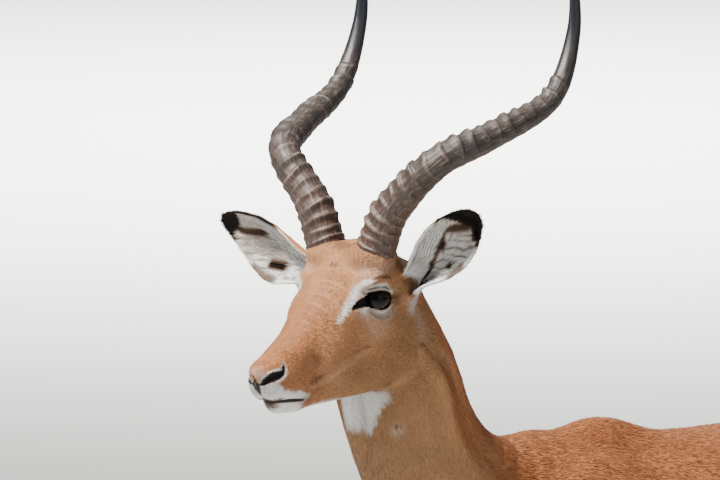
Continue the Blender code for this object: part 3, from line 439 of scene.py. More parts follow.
@dataclass
class Flesh:
    """The animal's whole form, of named groups of muscle, bone and skin."""

    form: Form = field(default_factory=Form)

    def build(self) -> Form:
        """Melt trunk, neck, head, legs and the tail's core together."""
        self.add_trunk()
        self.add_neck()
        self.add_head()
        for side in (1, -1):
            self.add_fore_leg(side)
            self.add_hind_leg(side)
        self.add_tail()
        return self.form

    def loft(self, axes: Axes, rows: Rows, blend: float,
             per: int = 2) -> None:
        """Melt in one limb of oval sections."""
        self.form.add(Loft(axes, rows, per), blend)

    def ovals(self, axes: Axes, rows: Sequence[tuple]) -> None:
        """Melt in ellipsoids, each by its centre, half lengths, blend and turn if it has one."""
        for centre, radii, blend, *turn in rows:
            self.form.add(Oval(axes, centre, radii, *turn), blend)

    def add_trunk(self) -> None:
        """Barrel, back, withers, shoulders, breast and haunches."""
        stations = (             # forward, back, belly, half width
            (21.0, 79.0, 65.0, 5.4), (17.0, 82.5, 60.0, 7.6), (10.0, 85.6, 56.0, 9.2),
            (0.0, 87.0, BREAST + 0.6, 10.9), (-12.0, 86.7, BREAST, 12.7),
            (-24.0, 87.0, 54.0, 13.8), (-36.0, 89.2, 57.2, 13.2), (-46.0, 90.8, 61.6, 11.6),
            (-55.0, 91.0, 65.2, 10.2), (-62.5, 87.0, 69.8, 7.2))
        self.loft(BODY, [(f, 0, (back + belly) / 2, wide, (back - belly) / 2)
                         for f, back, belly, wide in stations], 1.0)
        spine = ((-8, 0, 83.4, 3.2, 3.5), (-20, 0, 83.7, 3.6, 3.4), (-36, 0, 86.2, 3.8, 3.2),
                 (-50, 0, 88.1, 4.4, 3.2), (-60, 0, 85.4, 4.2, 3.2))
        self.loft(BODY, spine, 4.0)
        self.ovals(BODY, (
            ((1.0, 0, WITHERS - 5.6), (8.0, 3.0, 5.6), 3.2, (0, 6, 0)),
            ((9.0, 0, WITHERS - 6.0), (4.0, 2.6, 5.0), 2.6, (0, -10, 0)),
            ((9.0, 7.0, 76.5), (4.6, 2.8, 11.5), 3.0, (14, -38, 0)),
            ((2.5, 7.4, 75.0), (4.2, 2.9, 9.5), 3.0, (12, -18, 0)),
            ((17.0, 6.2, 67.5), (4.8, 4.0, 5.8), 3.0, (0, -20, 0)),
            ((6.0, 8.2, 64.5), (7.0, 3.4, 6.4), 3.0, (0, 36, 0)),
            ((16.0, 0, 62.5), (6.5, 4.2, 5.6), 3.5),
            ((1.0, 0, BREAST + 3.6), (13.0, 4.6, 3.6), 3.5, (0, 4, 0)),
            ((-53.5, 6.6, 77.5), (10.5, 5.0, 11.5), 4.0, (8, -10, 0)),
            ((-61.5, 6.0, 72.0), (7.2, 4.8, 11.0), 3.5, (4, 8, 0)),
            ((-66.6, 4.6, 77.0), (2.4, 2.6, 4.0), 3.0),
            ((-49.5, 7.2, 67.5), (6.2, 4.3, 8.5), 3.5, (4, -24, 0)),
            ((-35.0, 0, 57.6), (7.5, 1.7, 2.2), 2.2, (0, 10, 0))))

    def add_neck(self) -> None:
        """The neck climbs steeply from the chest and turns with the head."""
        nape = head_in_body((-4.6, 0, -1.4))
        rows = ((6.0, 0.0, 74.6, 8.2, 12.6), (13.6, 0.2, 78.2, 7.4, 10.6),
                (20.2, 0.8, 83.6, 5.9, 8.1), (24.2, 1.8, 89.8, 4.8, 6.6),
                (26.9, 2.7, 97.0, 4.2, 5.7), (*nape, 3.8, 4.8))
        self.loft(BODY, rows, 3.0, 3)

    def add_head(self) -> None:
        """Skull, brows, lids, cheeks, jaws, lips, nose and ears."""
        profile = ((-6.0, 0, -0.9, 3.6, 3.4), (-3.0, 0, 0.0, 4.5, 4.6), (1.5, 0, -0.5, 4.6, 4.3),
                   (5.5, 0, -1.8, 3.5, 3.5), (9.0, 0, -2.9, 2.8, 2.8), (12.3, 0, -3.7, 2.4, 2.6),
                   (14.3, 0, -4.0, 2.2, 2.2), (14.9, 0, -4.1, 2.0, 2.0))
        self.loft(HEAD, profile, 1.5, 3)
        self.ovals(HEAD, (
            ((-2.6, 0, 2.9), (3.4, 3.6, 2.4), 1.6), ((-1.9, 3.2, 3.9), (2.4, 2.0, 1.7), 1.2),
            ((-0.75, 2.5, 4.25), (1.6, 2.3, 1.45), 1.2),
            ((-0.2, 3.9, 2.2), (3.0, 1.3, 1.0), 1.3, (0, 0, 6)),
            ((-0.5, 3.55, -0.25), (3.0, 1.27, 2.8), 1.3, (0, 0, 8)),
            ((3.2, 2.6, -0.9), (2.6, 1.15, 1.9), 1.5, (0, 0, 14)),
            ((-4.4, 4.0, 0.4), (2.2, 1.7, 2.5), 1.4), ((-1.4, 3.0, -4.4), (4.3, 1.8, 4.3), 1.8),
            ((4.5, 2.3, -4.6), (4.6, 1.6, 2.8), 1.8, (0, 0, 6))))
        jaw = ((-3.2, 2.4, -6.4, 1.5, 2.8), (0.5, 2.4, -7.6, 1.5, 2.3), (5.0, 2.0, -7.4, 1.4, 1.9),
               (9.0, 1.4, -7.0, 1.2, 1.7), (12.2, 0.9, -7.0, 1.1, 1.4))
        self.loft(HEAD, jaw, 1.6)
        self.ovals(HEAD, (
            ((3.0, 0, -6.6), (8.0, 2.6, 2.2), 1.6, (0, 2, 0)),
            ((12.6, 0, -7.0), (2.8, 1.6, 1.45), 1.2, (0, 4, 0)),
            ((13.4, 1.1, -5.0), (2.8, 1.3, 1.6), 1.2, (0, 6, -6)),
            ((15.3, 0, -3.5), (1.6, 1.6, 1.4), 1.0),
            (EYE_AT, (EYE_RADIUS + LID_THICKNESS,) * 3, 0.5)))
        for ear in EARS:
            self.form.add(ear, 0.5)

    def add_foot(self, axes: Axes, ankle: Sequence[float], stride: float, pivot: float) -> None:
        """Pastern and two claws, below a fetlock whose middle is ankle."""
        f, l, u = ankle
        rows = ((f, l, u, 1.6, 1.85), (f + 0.8, l, u - 2.7, 1.4, 1.5),
                (f + 1.8, l, u - 5.1, 1.75, 1.75), (f + 2.4, l, u - 6.6, 1.8, 2.0))
        self.loft(axes, standing(rows, stride, pivot), 1.0)
        heel = f - 1.6 + stride * (1 - u / pivot)
        self.ovals(axes, (((heel, l, u - 0.3), (1.1, 1.3, 1.3), 1.0),))
        shift = stride * (1 - 2.0 / pivot)
        for side in (-1, 1):
            claw = ((2.0, 1.0, 7.2, 1.05, 2.5), (2.9, 1.05, 8.8, 1.1, 2.7),
                    (4.3, 0.95, 10.4, 0.95, 2.2), (5.2, 0.85, 11.6, 0.8, 1.4))
            self.loft(axes, [(f + ahead + shift, l + side * aside, u - down, wide, deep)
                             for ahead, aside, down, wide, deep in claw], 0.35)

    def add_fore_leg(self, side: int) -> None:
        """Forearm, knee, cannon and foot."""
        axes = BODY.one_side(side)
        stride = STRIDES_FORE[side]
        l = LEG_SPREAD_FORE
        rows = ((8.5, l + 1.4, 60.5, 3.0, 5.6), (7.6, l + 1.4, 56.5, 2.9, 4.6),
                (7.8, l + 1.1, 50.5, 2.55, 3.5), (8.3, l + 0.7, 44.0, 2.1, 2.65),
                (8.7, l + 0.4, 38.0, 1.85, 2.1), (9.1, l + 0.3, 34.0, 2.1, 2.25),
                (8.9, l + 0.2, 31.5, 1.8, 1.9), (8.7, l + 0.1, 27.5, 1.3, 1.4),
                (8.5, l, 20.0, 1.15, 1.25), (8.3, l, 14.5, 1.25, 1.4), (8.4, l, 11.3, 1.6, 1.85))
        self.loft(axes, standing(rows, stride, ELBOW), 2.2)
        knee = 7.3 + stride * (1 - 33.4 / ELBOW)
        self.ovals(axes, (((3.2, l + 1.2, 58.0), (2.0, 1.7, 3.0), 2.2, (0, -12, 0)),
                          ((knee, l + 0.2, 33.4), (1.1, 1.2, 1.7), 1.2)))
        self.add_foot(axes, (FORE_FETLOCK, l, FORE_FETLOCK_UP), stride, ELBOW)

    def add_hind_leg(self, side: int) -> None:
        """Thigh, kneecap, gaskin, hock, cannon and foot."""
        axes = BODY.one_side(side)
        stride = STRIDES_HIND[side]
        l = LEG_SPREAD_HIND
        rows = ((-50.5, l + 1.4, 66.0, 4.0, 7.6), (-50.0, l + 1.7, 60.5, 3.7, 6.6),
                (-53.8, l + 1.6, 55.5, 3.1, 5.1), (-59.0, l + 1.0, 50.0, 2.4, 3.8),
                (-63.9, l + 0.4, 44.8, 1.95, 2.8), (-67.4, l + 0.1, 40.6, 1.75, 2.3),
                (-69.2, l, 36.6, 1.65, 2.2), (-69.1, l, 32.5, 1.4, 1.7),
                (-68.8, l, 26.0, 1.2, 1.4), (-68.5, l, 18.0, 1.2, 1.35),
                (-68.2, l, 14.6, 1.35, 1.5), (-67.9, l, 11.8, 1.65, 1.9))
        self.loft(axes, standing(rows, stride, STIFLE), 2.4)
        self.ovals(axes, (((-45.2, l + 2.0, 60.0), (2.2, 2.0, 3.4), 2.4, (0, -20, 0)),))
        tendon = ((-60.5, l + 0.4, 64.0, 3.2, 6.0), (-61.8, l + 0.6, 57.0, 2.0, 4.6),
                  (-64.6, l + 0.5, 51.5, 1.3, 3.4), (-67.6, l + 0.2, 47.2, 1.1, 2.4),
                  (-70.8, l, 42.8, 1.15, 1.5), (-70.3, l, 37.0, 1.1, 1.4))
        self.loft(axes, standing(tendon, stride, STIFLE), 1.6)
        self.add_foot(axes, (HIND_FETLOCK, l, HIND_FETLOCK_UP), stride, STIFLE)

    def add_tail(self) -> None:
        """The dock and the thin core that hangs inside the tail's hair."""
        self.loft(BODY, ((-61.0, 0, 85.0, 2.8, 3.0), (-67.0, 0, 83.2, 2.0, 2.1)), 2.4)
        rows = ((-66.5, 0, 83.4, 1.5, 1.5), (-70.4, 0, 80.6, 1.4, 1.3), (-72.6, 0, 75.0, 1.1, 1.0),
                (-73.4, 0, 67.0, 0.9, 0.8), (-73.3, 0, 60.5, 0.7, 0.6))
        self.loft(BODY, rows, 1.0, 3)


def standing(rows: Rows, stride: float, pivot: float) -> list[tuple]:
    """Rows of a leg with the foot swung forward by stride, more the lower it is."""
    return [(row[0] + stride * (1 - row[2] / pivot), *row[1:]) for row in rows]


# ---- lines and relief of the face


class Crease:
    """A line on the head's skin, given roughly and snapped onto it."""

    def __init__(self, form: Form, stops: Rows, width: float,
                 depth: float) -> None:
        """Lay the line on the form; a stop's fourth number scales the width there."""
        rows = smooth_rows(stops, 6)
        on_head = rows[:, :3]
        for _ in range(3):
            world = HEAD.one_side(1).outward(on_head)
            slope = slope_of(form.at, world, 0.05)
            away = form.at(world) / np.maximum((slope ** 2).sum(axis=1), 0.2)
            on_head = HEAD.signed(world - slope * away[:, None])
        self.line = on_head
        self.width = width
        self.depth = depth
        self.wide = np.maximum(rows[:, 3], 0.05) * width

    def near(self, head: Array) -> Array:
        """Distance over width from head points (left taken as positive) to the line, up to 3."""
        out = np.full(len(head), 3.0)
        low = self.line.min(axis=0) - 3 * self.width
        high = self.line.max(axis=0) + 3 * self.width
        chosen = np.flatnonzero(np.all((head > low) & (head < high), axis=1))
        if len(chosen) == 0:
            return out
        p = head[chosen]
        best = np.full(len(p), 3.0)
        for a, b, wa, wb in zip(self.line, self.line[1:], self.wide, self.wide[1:]):
            run = b - a
            t = np.clip((p - a) @ run / max(run @ run, 1e-9), 0, 1)
            gap = np.linalg.norm(p - a - t[:, None] * run, axis=1)
            best = np.minimum(best, gap / (wa + t * (wb - wa)))
        out[chosen] = best
        return out

    def mask(self, head: Array, core: float = 0.6) -> Array:
        """1 on the line, 0 a width away."""
        return rise(1.0, core, self.near(head))


@dataclass
class EyePlace:
    """The opening between the lids, on axes of its own: ahead, up and out of the eye."""

    ahead: Array = field(default_factory=lambda: unit((0.977, -0.171, 0.12)))
    outer: float = -1.5
    inner: float = 4.5
    upper: tuple[tuple[float, float], ...] = (
        (-1.5, -0.12), (-1.15, 0.26), (-0.4, 0.66), (0.45, 0.86), (1.2, 0.80), (2.0, 0.66),
        (2.6, 0.50), (3.6, 0.08), (4.5, -0.37))
    lower: tuple[tuple[float, float], ...] = (
        (-1.5, -0.12), (-1.2, -0.58), (-0.55, -1.02), (0.1, -1.12), (0.8, -0.98), (1.4, -0.70),
        (2.0, -0.46), (2.8, -0.38), (3.8, -0.40), (4.5, -0.45))

    def basis(self) -> Array:
        """Rows ahead, up and out, on the head's axes."""
        out = np.array([0.22, 0.97, 0.1])
        out = unit(out - self.ahead * (out @ self.ahead))
        return np.array([self.ahead, np.cross(self.ahead, out), out])

    def local(self, head: Array) -> Array:
        """Head points (left taken as positive) on the eye's axes."""
        return (head - np.array(EYE_AT)) @ self.basis().T

    def gap(self, local: Array) -> Array:
        """Distance outside the opening between the lids, negative inside."""
        x = local[:, 0]
        top = np.interp(x, *zip(*self.upper))
        bottom = np.interp(x, *zip(*self.lower))
        beyond = np.maximum(np.maximum(self.outer - x, x - self.inner), 0.0)
        upright = np.maximum(local[:, 1] - top, bottom - local[:, 1])
        return np.where(beyond > 0, np.hypot(np.maximum(upright, 0), beyond), upright * 0.85)

    def gap_near(self, local: Array) -> Array:
        """The same, but far away wherever a point is not on the eye's side of the face."""
        x, y, z = local.T
        return np.where((np.abs(x) < 6) & (np.abs(y) < 3) & (z > 0), self.gap(local), 9.0)


# Stops, width and depth of each line, in the order in which they are pressed in.
FACE_LINES = {
    "nostril": (((16.98, 0.25, -4.15, 0.6), (16.75, 0.75, -3.95, 1.2), (16.2, 1.45, -3.55, 1.9),
                 (15.45, 1.9, -3.45, 1.75), (14.85, 2.05, -3.35, 1.25), (14.45, 2.0, -3.0, 0.9),
                 (14.17, 1.78, -2.55, 0.6)), 0.30, 0.75),
    "philtrum": (((16.95, 0.2, -3.95, 1.0), (16.85, 0.2, -4.4, 1.15), (16.6, 0.1, -5.0, 1.0),
                  (16.2, 0.0, -5.7, 0.75), (15.7, 0.0, -6.3, 0.8)), 0.26, 0.2),
    "mouth": (((15.5, 0.0, -6.5, 1.3), (15.25, 1.0, -6.5, 1.2), (14.6, 1.5, -6.6, 1.0),
               (13.75, 1.8, -6.78, 0.85), (12.9, 1.95, -7.0, 0.7), (12.1, 2.06, -7.2, 0.5)),
              0.40, 0.36),
    "lid_fold": (((3.3, 4.2, 1.15, 0.4), (2.3, 4.6, 1.6, 0.8), (1.3, 5.0, 1.68, 1.0),
                  (0.4, 5.1, 1.54, 1.1), (-0.8, 5.1, 0.95, 0.9), (-1.5, 5.1, 0.35, 0.4)),
                 0.12, 0.12),
    "brow_fold": (((1.8, 4.6, 2.5, 0.4), (1.0, 4.9, 2.56, 0.9), (0.2, 5.1, 2.5, 1.2),
                   (-1.2, 5.1, 2.15, 1.1), (-1.8, 4.95, 1.2, 0.5)), 0.30, 0.18),
    "wrinkle_inner": (((-0.6, 1.6, 5.3, 0.6), (1.2, 1.9, 4.5, 1.0), (2.6, 1.8, 3.6, 0.5)),
                      0.22, 0.07),
    "wrinkle_outer": (((-1.2, 2.6, 5.0, 0.6), (0.7, 2.9, 4.2, 1.0), (1.8, 2.7, 3.6, 0.5)),
                      0.22, 0.07),
    "wrinkle_temple": (((-3.3, 5.1, 2.2, 0.5), (-3.2, 5.3, 0.9, 1.0), (-3.0, 5.3, -0.6, 0.5)),
                       0.25, 0.08),
    "brow_stripe": (((1.7, 4.7, 2.45, 0.8), (2.8, 4.0, 2.1, 1.2), (3.6, 3.67, 1.28, 1.25),
                     (5.1, 3.6, 0.4, 1.0), (6.3, 3.45, -0.5, 0.5)), 0.72, 0.0),
    "crest": (((10.9, 2.3, -6.1, 0.6), (9.2, 2.7, -5.9, 0.9), (7.4, 3.5, -5.1, 1.0),
               (5.2, 3.9, -4.7, 1.0), (3.0, 4.2, -4.5, 0.6)), 0.75, -0.14),
    "lip_fold": (((12.6, 2.5, -4.1, 0.5), (12.5, 2.5, -4.9, 1.0), (11.6, 2.3, -5.7, 0.8),
                  (10.9, 2.2, -6.3, 0.4)), 0.25, 0.09),
    "cheek_fold": (((9.5, 2.7, -4.2, 0.6), (9.8, 2.4, -5.2, 1.0), (10.1, 2.3, -6.0, 0.5)),
                   0.24, 0.08),
    "far_nostril": (((16.95, 0.1, -3.95, 1.1), (16.9, 0.12, -3.4, 1.0), (16.75, 0.45, -3.05, 0.9),
                     (16.55, 0.8, -2.8, 0.6)), 0.2, 0.0)}
NECK_LINES = {
    "ridge": (((-5.0, 5.0, -7.0, 0.5), (-5.5, 5.06, -8.7, 0.9), (-6.6, 5.5, -11.0, 1.1),
               (-7.0, 5.6, -13.9, 1.2), (-7.3, 5.6, -16.8, 1.2), (-8.1, 5.9, -19.8, 1.0),
               (-9.0, 5.9, -22.5, 0.5)), 1.35, -0.38),
    "hollow": (((-7.6, 4.8, -9.0, 0.6), (-9.0, 5.3, -11.5, 1.0), (-9.8, 5.5, -14.3, 1.1),
                (-10.3, 5.6, -17.2, 1.2), (-11.4, 5.8, -20.3, 1.1), (-12.4, 5.8, -23.0, 0.6)),
               1.8, 0.38)}


class Face:
    """Everything on the head finer than its muscles: lids, nostrils, lips and creases."""

    def __init__(self, form: Form) -> None:
        """Snap the lines of the face and the neck onto the form."""
        self.eye = EyePlace()
        self.lines = {name: Crease(form, *row) for name, row in (FACE_LINES | NECK_LINES).items()}

    def shaped(self, value: Array, head: Array) -> Array:
        """The skin's field with the lids laid on the eyeball and every crease pressed in.

        Args:
            value: the distance to the plain skin.
            head: points on the head's axes, left taken as positive.

        Returns:
            The distance with the face's relief.
        """
        value = value.copy()
        for crease in (self.lines[name] for name in FACE_LINES):
            if crease.depth:
                value += crease.depth * crease.mask(head, 0.15)
        local = self.eye.local(head)
        chosen = np.flatnonzero((np.abs(local[:, 0]) < 5) & (np.abs(local[:, 1]) < 3.2)
                                & (local[:, 2] > -1.0))
        if len(chosen):
            near = local[chosen]
            gap = self.eye.gap(near)
            ball = np.linalg.norm(head[chosen] - np.array(EYE_AT), axis=1) - EYE_RADIUS - 0.13
            hug = rise(1.1, 0.15, gap) * rise(2.6, 1.3, near[:, 0])
            held = value[chosen] * (1 - hug) + ball * hug
            held -= 0.07 * between(0.07, 0.28, 0.07, gap) * rise(3.2, 1.6, near[:, 0])
            deep = 0.22 + 1.3 * rise(2.3, 1.4, near[:, 0])
            value[chosen] = held + deep * rise(0.05, -0.12, gap)
        return value


def coat_depth(points: Array) -> Array:
    """How far the skin lies below the tips of the hair."""
    forward, left, up = BODY.inward(*points.T)
    near_head = np.linalg.norm(points - HEAD.origin, axis=1)
    depth = 0.28 - 0.20 * rise(24.0, 13.0, near_head)
    leg = rise(57.0, 48.0, up)
    return depth * (1 - leg) + 0.10 * leg


class Hide:
    """The surface of the skin: the form, less the coat's depth, with the face's relief."""

    def __init__(self, form: Form, face: Face) -> None:
        """Keep what the surface is made of."""
        self.form = form
        self.face = face

    def at(self, points: Array) -> Array:
        """Distance to the skin, negative inside."""
        value = self.form.at(points) + coat_depth(points)
        head = HEAD.folded(points)
        forward, left, up = head.T
        near = np.flatnonzero((forward > -6) & (forward < 19) & (np.abs(up) < 9)
                              & (np.abs(value) < 2.5) & (left < 7.5))
        if len(near):
            value[near] = self.face.shaped(value[near], head[near])
        near = np.flatnonzero((up < -5) & (up > -26) & (np.abs(value) < 2.5) & (forward < -2)
                              & (forward > -16))
        for crease in (self.face.lines[name] for name in NECK_LINES):
            value[near] += crease.depth * crease.mask(head[near], 0.0)
        for ear in EARS:
            near = ear.near(points)
            if len(near):
                value[near] = np.minimum(value[near], ear.distance(*points[near].T))
        return value


# ---- making one skin of the form


def net(axes: Sequence[Array], values: Array) -> tuple[Array, Array]:
    """Vertices and quads round the inside of a field: one vertex in each cell it crosses.

    Args:
        axes: the grid's coordinates along x, y and z.
        values: the field on the grid, negative inside.

    Returns:
        Points and four-cornered faces, turned outward.
    """
    inside = values < 0
    counts = [n - 1 for n in values.shape]
    filled = np.zeros(counts, np.int8)
    corners = [(i, j, k) for i in (0, 1) for j in (0, 1) for k in (0, 1)]
    for i, j, k in corners:
        filled += inside[i:counts[0] + i, j:counts[1] + j, k:counts[2] + k]
    cells = np.argwhere((filled > 0) & (filled < 8))
    index = np.full(counts, -1)
    index[tuple(cells.T)] = np.arange(len(cells))
    total = np.zeros((len(cells), 3))
    hits = np.zeros(len(cells))
    for corner in corners:
        for axis in range(3):
            if corner[axis]:
                continue
            step = np.eye(3, dtype=int)[axis]
            start = values[tuple((cells + corner).T)]
            end = values[tuple((cells + corner + step).T)]
            crossed = (start < 0) != (end < 0)
            place = np.tile(np.array(corner, float), (crossed.sum(), 1))
            place[:, axis] = start[crossed] / (start[crossed] - end[crossed])
            total[crossed] += place
            hits[crossed] += 1
    size = axes[0][1] - axes[0][0]
    points = np.array([a[0] for a in axes]) + (cells + total / hits[:, None]) * size
    quads = []
    for axis in range(3):
        near = inside.take(range(counts[axis]), axis)
        far = inside.take(range(1, counts[axis] + 1), axis)
        first, second = [i for i in range(3) if i != axis]
        edges = np.argwhere(near != far)
        held = ((edges[:, first] > 0) & (edges[:, second] > 0)
                & (edges[:, first] < counts[first]) & (edges[:, second] < counts[second]))
        edges = edges[held]
        back = np.zeros(3, int)
        ring = []
        for a, b in ((1, 1), (0, 1), (0, 0), (1, 0)):
            back[first] = a
            back[second] = b
            ring.append(index[tuple((edges - back).T)])
        quad = np.stack(ring, axis=1)
        outward = inside[tuple(edges.T)] != (axis == 1)
        quad[~outward] = quad[~outward][:, ::-1]
        quads.append(quad)
    return points, np.vstack(quads)


def enlarged(values: Array, times: int) -> Array:
    """A coarse grid's values on a grid this many times finer, in straight lines between."""
    for axis in range(3):
        count = values.shape[axis]
        place = np.arange((count - 1) * times + 1) / times
        low = np.minimum(place.astype(int), count - 2)
        part = (place - low).reshape([-1 if i == axis else 1 for i in range(3)])
        values = values.take(low, axis) * (1 - part) + values.take(low + 1, axis) * part
    return values


@dataclass
class Zone:
    """A part of the body whose skin is meshed at one size, between two level heights."""

    low: Triple
    high: Triple
    size: float
    coarse: int = 4

    def mesh(self, surface: Hide,
             cut: Callable[[Array, Array], Array] | None = None) -> tuple[Array, Array]:
        """Points and quads of the skin in this zone.

        Args:
            surface: the skin's field.
            cut: changes the field's values at given points, to end the skin early.

        Returns:
            Points in centimetres, on the skin, and faces.
        """
        step = self.size * self.coarse
        counts = [int(math.ceil((b - a) / step)) + 1 for a, b in zip(self.low, self.high)]
        wide = [a + step * np.arange(n) for a, n in zip(self.low, counts)]
        grid = np.stack(np.meshgrid(*wide, indexing="ij"), axis=-1).reshape(-1, 3)
        values = surface.form.at(grid) + coat_depth(grid)
        fine = enlarged(values.reshape(counts), self.coarse)
        axes = [a + self.size * np.arange(n) for a, n in zip(self.low, fine.shape)]
        band = np.argwhere(np.abs(fine) < 1.25 * step)
        points = np.stack([a[i] for a, i in zip(axes, band.T)], axis=1)
        value = surface.at(points)
        if cut is not None:
            value = cut(value, points)
        fine[tuple(band.T)] = value
        keep = np.searchsorted(axes[2], self.high[2] + 1e-6)
        fine = fine[:, :, :keep]
        axes[2] = axes[2][:keep]
        return net(axes, fine)


def boundary_loops(quads: Array) -> list[list[int]]:
    """The closed runs of vertices round a mesh's open edges."""
    edges = np.concatenate([quads[:, [i, (i + 1) % 4]] for i in range(4)])
    key = np.sort(edges, axis=1)
    found, inverse, count = np.unique(key, axis=0, return_inverse=True, return_counts=True)
    single = edges[count[inverse.ravel()] == 1]
    follow = {}
    for a, b in single:
        follow.setdefault(int(a), []).append(int(b))
    loops = []
    while follow:
        start = next(iter(follow))
        loop = [start]
        at = start
        while at in follow:
            following = follow[at].pop()
            if not follow[at]:
                del follow[at]
            if following == start:
                break
            loop.append(following)
            at = following
        loops.append(loop)
    return loops


def zipped(points: Array, lower: list[int], upper: list[int]) -> list[tuple[int, int, int]]:
    """Triangles between two level loops, one above the other, going round by angle."""
    centre = points[lower + upper, :2].mean(axis=0)

    def ordered(loop: list[int]) -> tuple[list[int], Array]:
        """A loop sorted by angle, with the angles."""
        away = points[loop, :2] - centre
        turn = np.arctan2(away[:, 1], away[:, 0])
        order = np.argsort(turn)
        return [loop[i] for i in order], turn[order]

    low, low_turn = ordered(lower)
    high, high_turn = ordered(upper)
    faces = []
    i = j = 0
    while i < len(low) or j < len(high):
        a, b = low[i % len(low)], high[j % len(high)]
        next_low = low_turn[i + 1] if i + 1 < len(low) else low_turn[0] + 2 * math.pi
        next_high = high_turn[j + 1] if j + 1 < len(high) else high_turn[0] + 2 * math.pi
        if j >= len(high) or (i < len(low) and next_low <= next_high):
            faces.append((a, low[(i + 1) % len(low)], b))
            i += 1
        else:
            faces.append((a, high[(j + 1) % len(high)], b))
            j += 1
    return faces


@dataclass
class Skin:
    """The one unbroken skin, from nose and ear tips to the coronets and the tail's core."""

    hide: Hide
    head_size: float = 0.16
    body_size: float = 0.75
    leg_size: float = 0.34
    neck_joint: float = 92.6
    leg_joint: float = 41.0
    points: Array = field(default_factory=lambda: np.zeros((0, 3)))
    faces: list = field(default_factory=list)

    def zones(self) -> list[Zone]:
        """Head, body and four legs."""
        gap = 0.25
        joint, knee = self.neck_joint, self.leg_joint
        found = [Zone((-56.5, -24.5, joint + gap), (-16.5, 18.5, 126.0), self.head_size),
                 Zone((-33.0, -16.5, knee + gap), (76.0, 16.5, joint - gap), self.body_size)]
        for side in (1, -1):
            outer = sorted((-side * 2.4, -side * 12.5))
            for start, stop in ((-18.0, -2.0), (58.0, 77.0)):
                found.append(Zone((start, outer[0], 1.0), (stop, outer[1], knee - gap),
                                  self.leg_size))
        return found

    def build(self) -> None:
        """Mesh each zone, close the joints between them and lay the points on the skin."""
        sheets = []
        for number, zone in enumerate(self.zones()):
            coronet = self.coronet_cut(zone) if number > 1 else None
            points, quads = zone.mesh(self.hide, coronet)
            points = self.settled(points, zone.size, 2 if number == 0 else 1)
            sheets.append((points, quads, number))
            LOG.info("skin zone %d: %d points", number, len(points))
        starts = np.cumsum([0] + [len(points) for points, _, _ in sheets])
        self.points = np.vstack([points for points, _, _ in sheets])
        loops = []
        self.faces = []
        for start, (_, quads, number) in zip(starts, sheets):
            self.faces += (quads + start).tolist()
            loops += [(number, [v + start for v in loop]) for loop in boundary_loops(quads)]
        loops = [(n, loop) for n, loop in loops if len(loop) > 8]
        self.join(loops)

    def join(self, loops: list[tuple[int, list[int]]]) -> None:
        """Zip each loop to the one over it."""
        upper = [loop for n, loop in loops if n == 0]
        lower = [loop for n, loop in loops
                 if n == 1 and self.points[loop, 2].mean() > self.neck_joint - 2]
        LOG.info("loops at the neck: %d and %d", len(upper), len(lower))
        self.faces += zipped(self.points, lower[0], upper[0])
        tops = [loop for n, loop in loops
                if n == 1 and self.points[loop, 2].mean() < self.leg_joint + 2]
        for leg in [loop for n, loop in loops if n > 1]:
            middle = self.points[leg, :2].mean(axis=0)
            away = [np.linalg.norm(self.points[top, :2].mean(axis=0) - middle) for top in tops]
            self.faces += zipped(self.points, leg, tops[int(np.argmin(away))])

    def coronet_cut(self, zone: Zone) -> Callable[[Array, Array], Array]:
        """Ends a leg's skin just inside the hoof."""
        side = 1 if zone.high[1] < 0 else -1
        fore = zone.low[0] < 0
        ahead = ankle_ahead(side, fore)

        def cut(values: Array, points: Array) -> Array:
            """The greater of the skin's field and the distance under the coronet's plane."""
            forward = BODY.inward(*points.T)[0]
            plane = 0.38 * (forward - ahead - 2.2) - 0.92 * (points[:, 2] - CORONET + INSIDE_HOOF)
            return np.maximum(values, plane)

        return cut

    def settled(self, points: Array, size: float, rounds: int) -> Array:
        """Points moved onto the skin's own surface."""
        for _ in range(rounds):
            slope = slope_of(self.hide.at, points, 0.04)
            value = self.hide.at(points)
            move = slope * (value / ((slope ** 2).sum(axis=1) + 1e-9))[:, None]
            length = np.linalg.norm(move, axis=1, keepdims=True)
            move *= np.minimum(1.0, 0.5 * size / np.maximum(length, 1e-9))
            move[points[:, 2] < CORONET + 2.0] = 0.0
            points = points - move
        return points


def ankle_ahead(side: int, fore: bool) -> float:
    """How far forward a fetlock stands, with its leg's stride."""
    if fore:
        return FORE_FETLOCK + STRIDES_FORE[side] * (1 - FORE_FETLOCK_UP / ELBOW)
    return HIND_FETLOCK + STRIDES_HIND[side] * (1 - HIND_FETLOCK_UP / STIFLE)


# ---- the coat's markings


@dataclass(frozen=True)
class Patch:
    """A soft-edged oval patch on the head: centre, half sizes and how soft its edge is."""

    centre: Triple
    radii: Triple
    soft: float = 0.35
    strength: float = 1.0

    def mask(self, head: Array) -> Array:
        """1 inside, 0 outside."""
        away = np.sqrt((((head - self.centre) / self.radii) ** 2).sum(axis=1))
        return self.strength * rise(1 + self.soft, 1 - self.soft, away)


@dataclass(frozen=True)
class EarMark:
    """A dark mark inside an ear (dark hair, and in the folds painted shade): places along it and
    across it, and half width.
    """

    start: tuple[float, float]
    stop: tuple[float, float]
    width: float
    strength: float = 1.0

    def mask(self, place: Array, across: Array) -> Array:
        """1 on the mark, 0 off it."""
        a, b = (np.array(end) * [1, 0.3] for end in (self.start, self.stop))
        p = np.stack([place, across * 0.3], axis=1)
        run = b - a
        t = np.clip((p - a) @ run / max(run @ run, 1e-9), 0, 1)
        gap = np.linalg.norm(p - a - t[:, None] * run, axis=1)
        return self.strength * rise(self.width * 1.2, self.width * 0.2, gap)


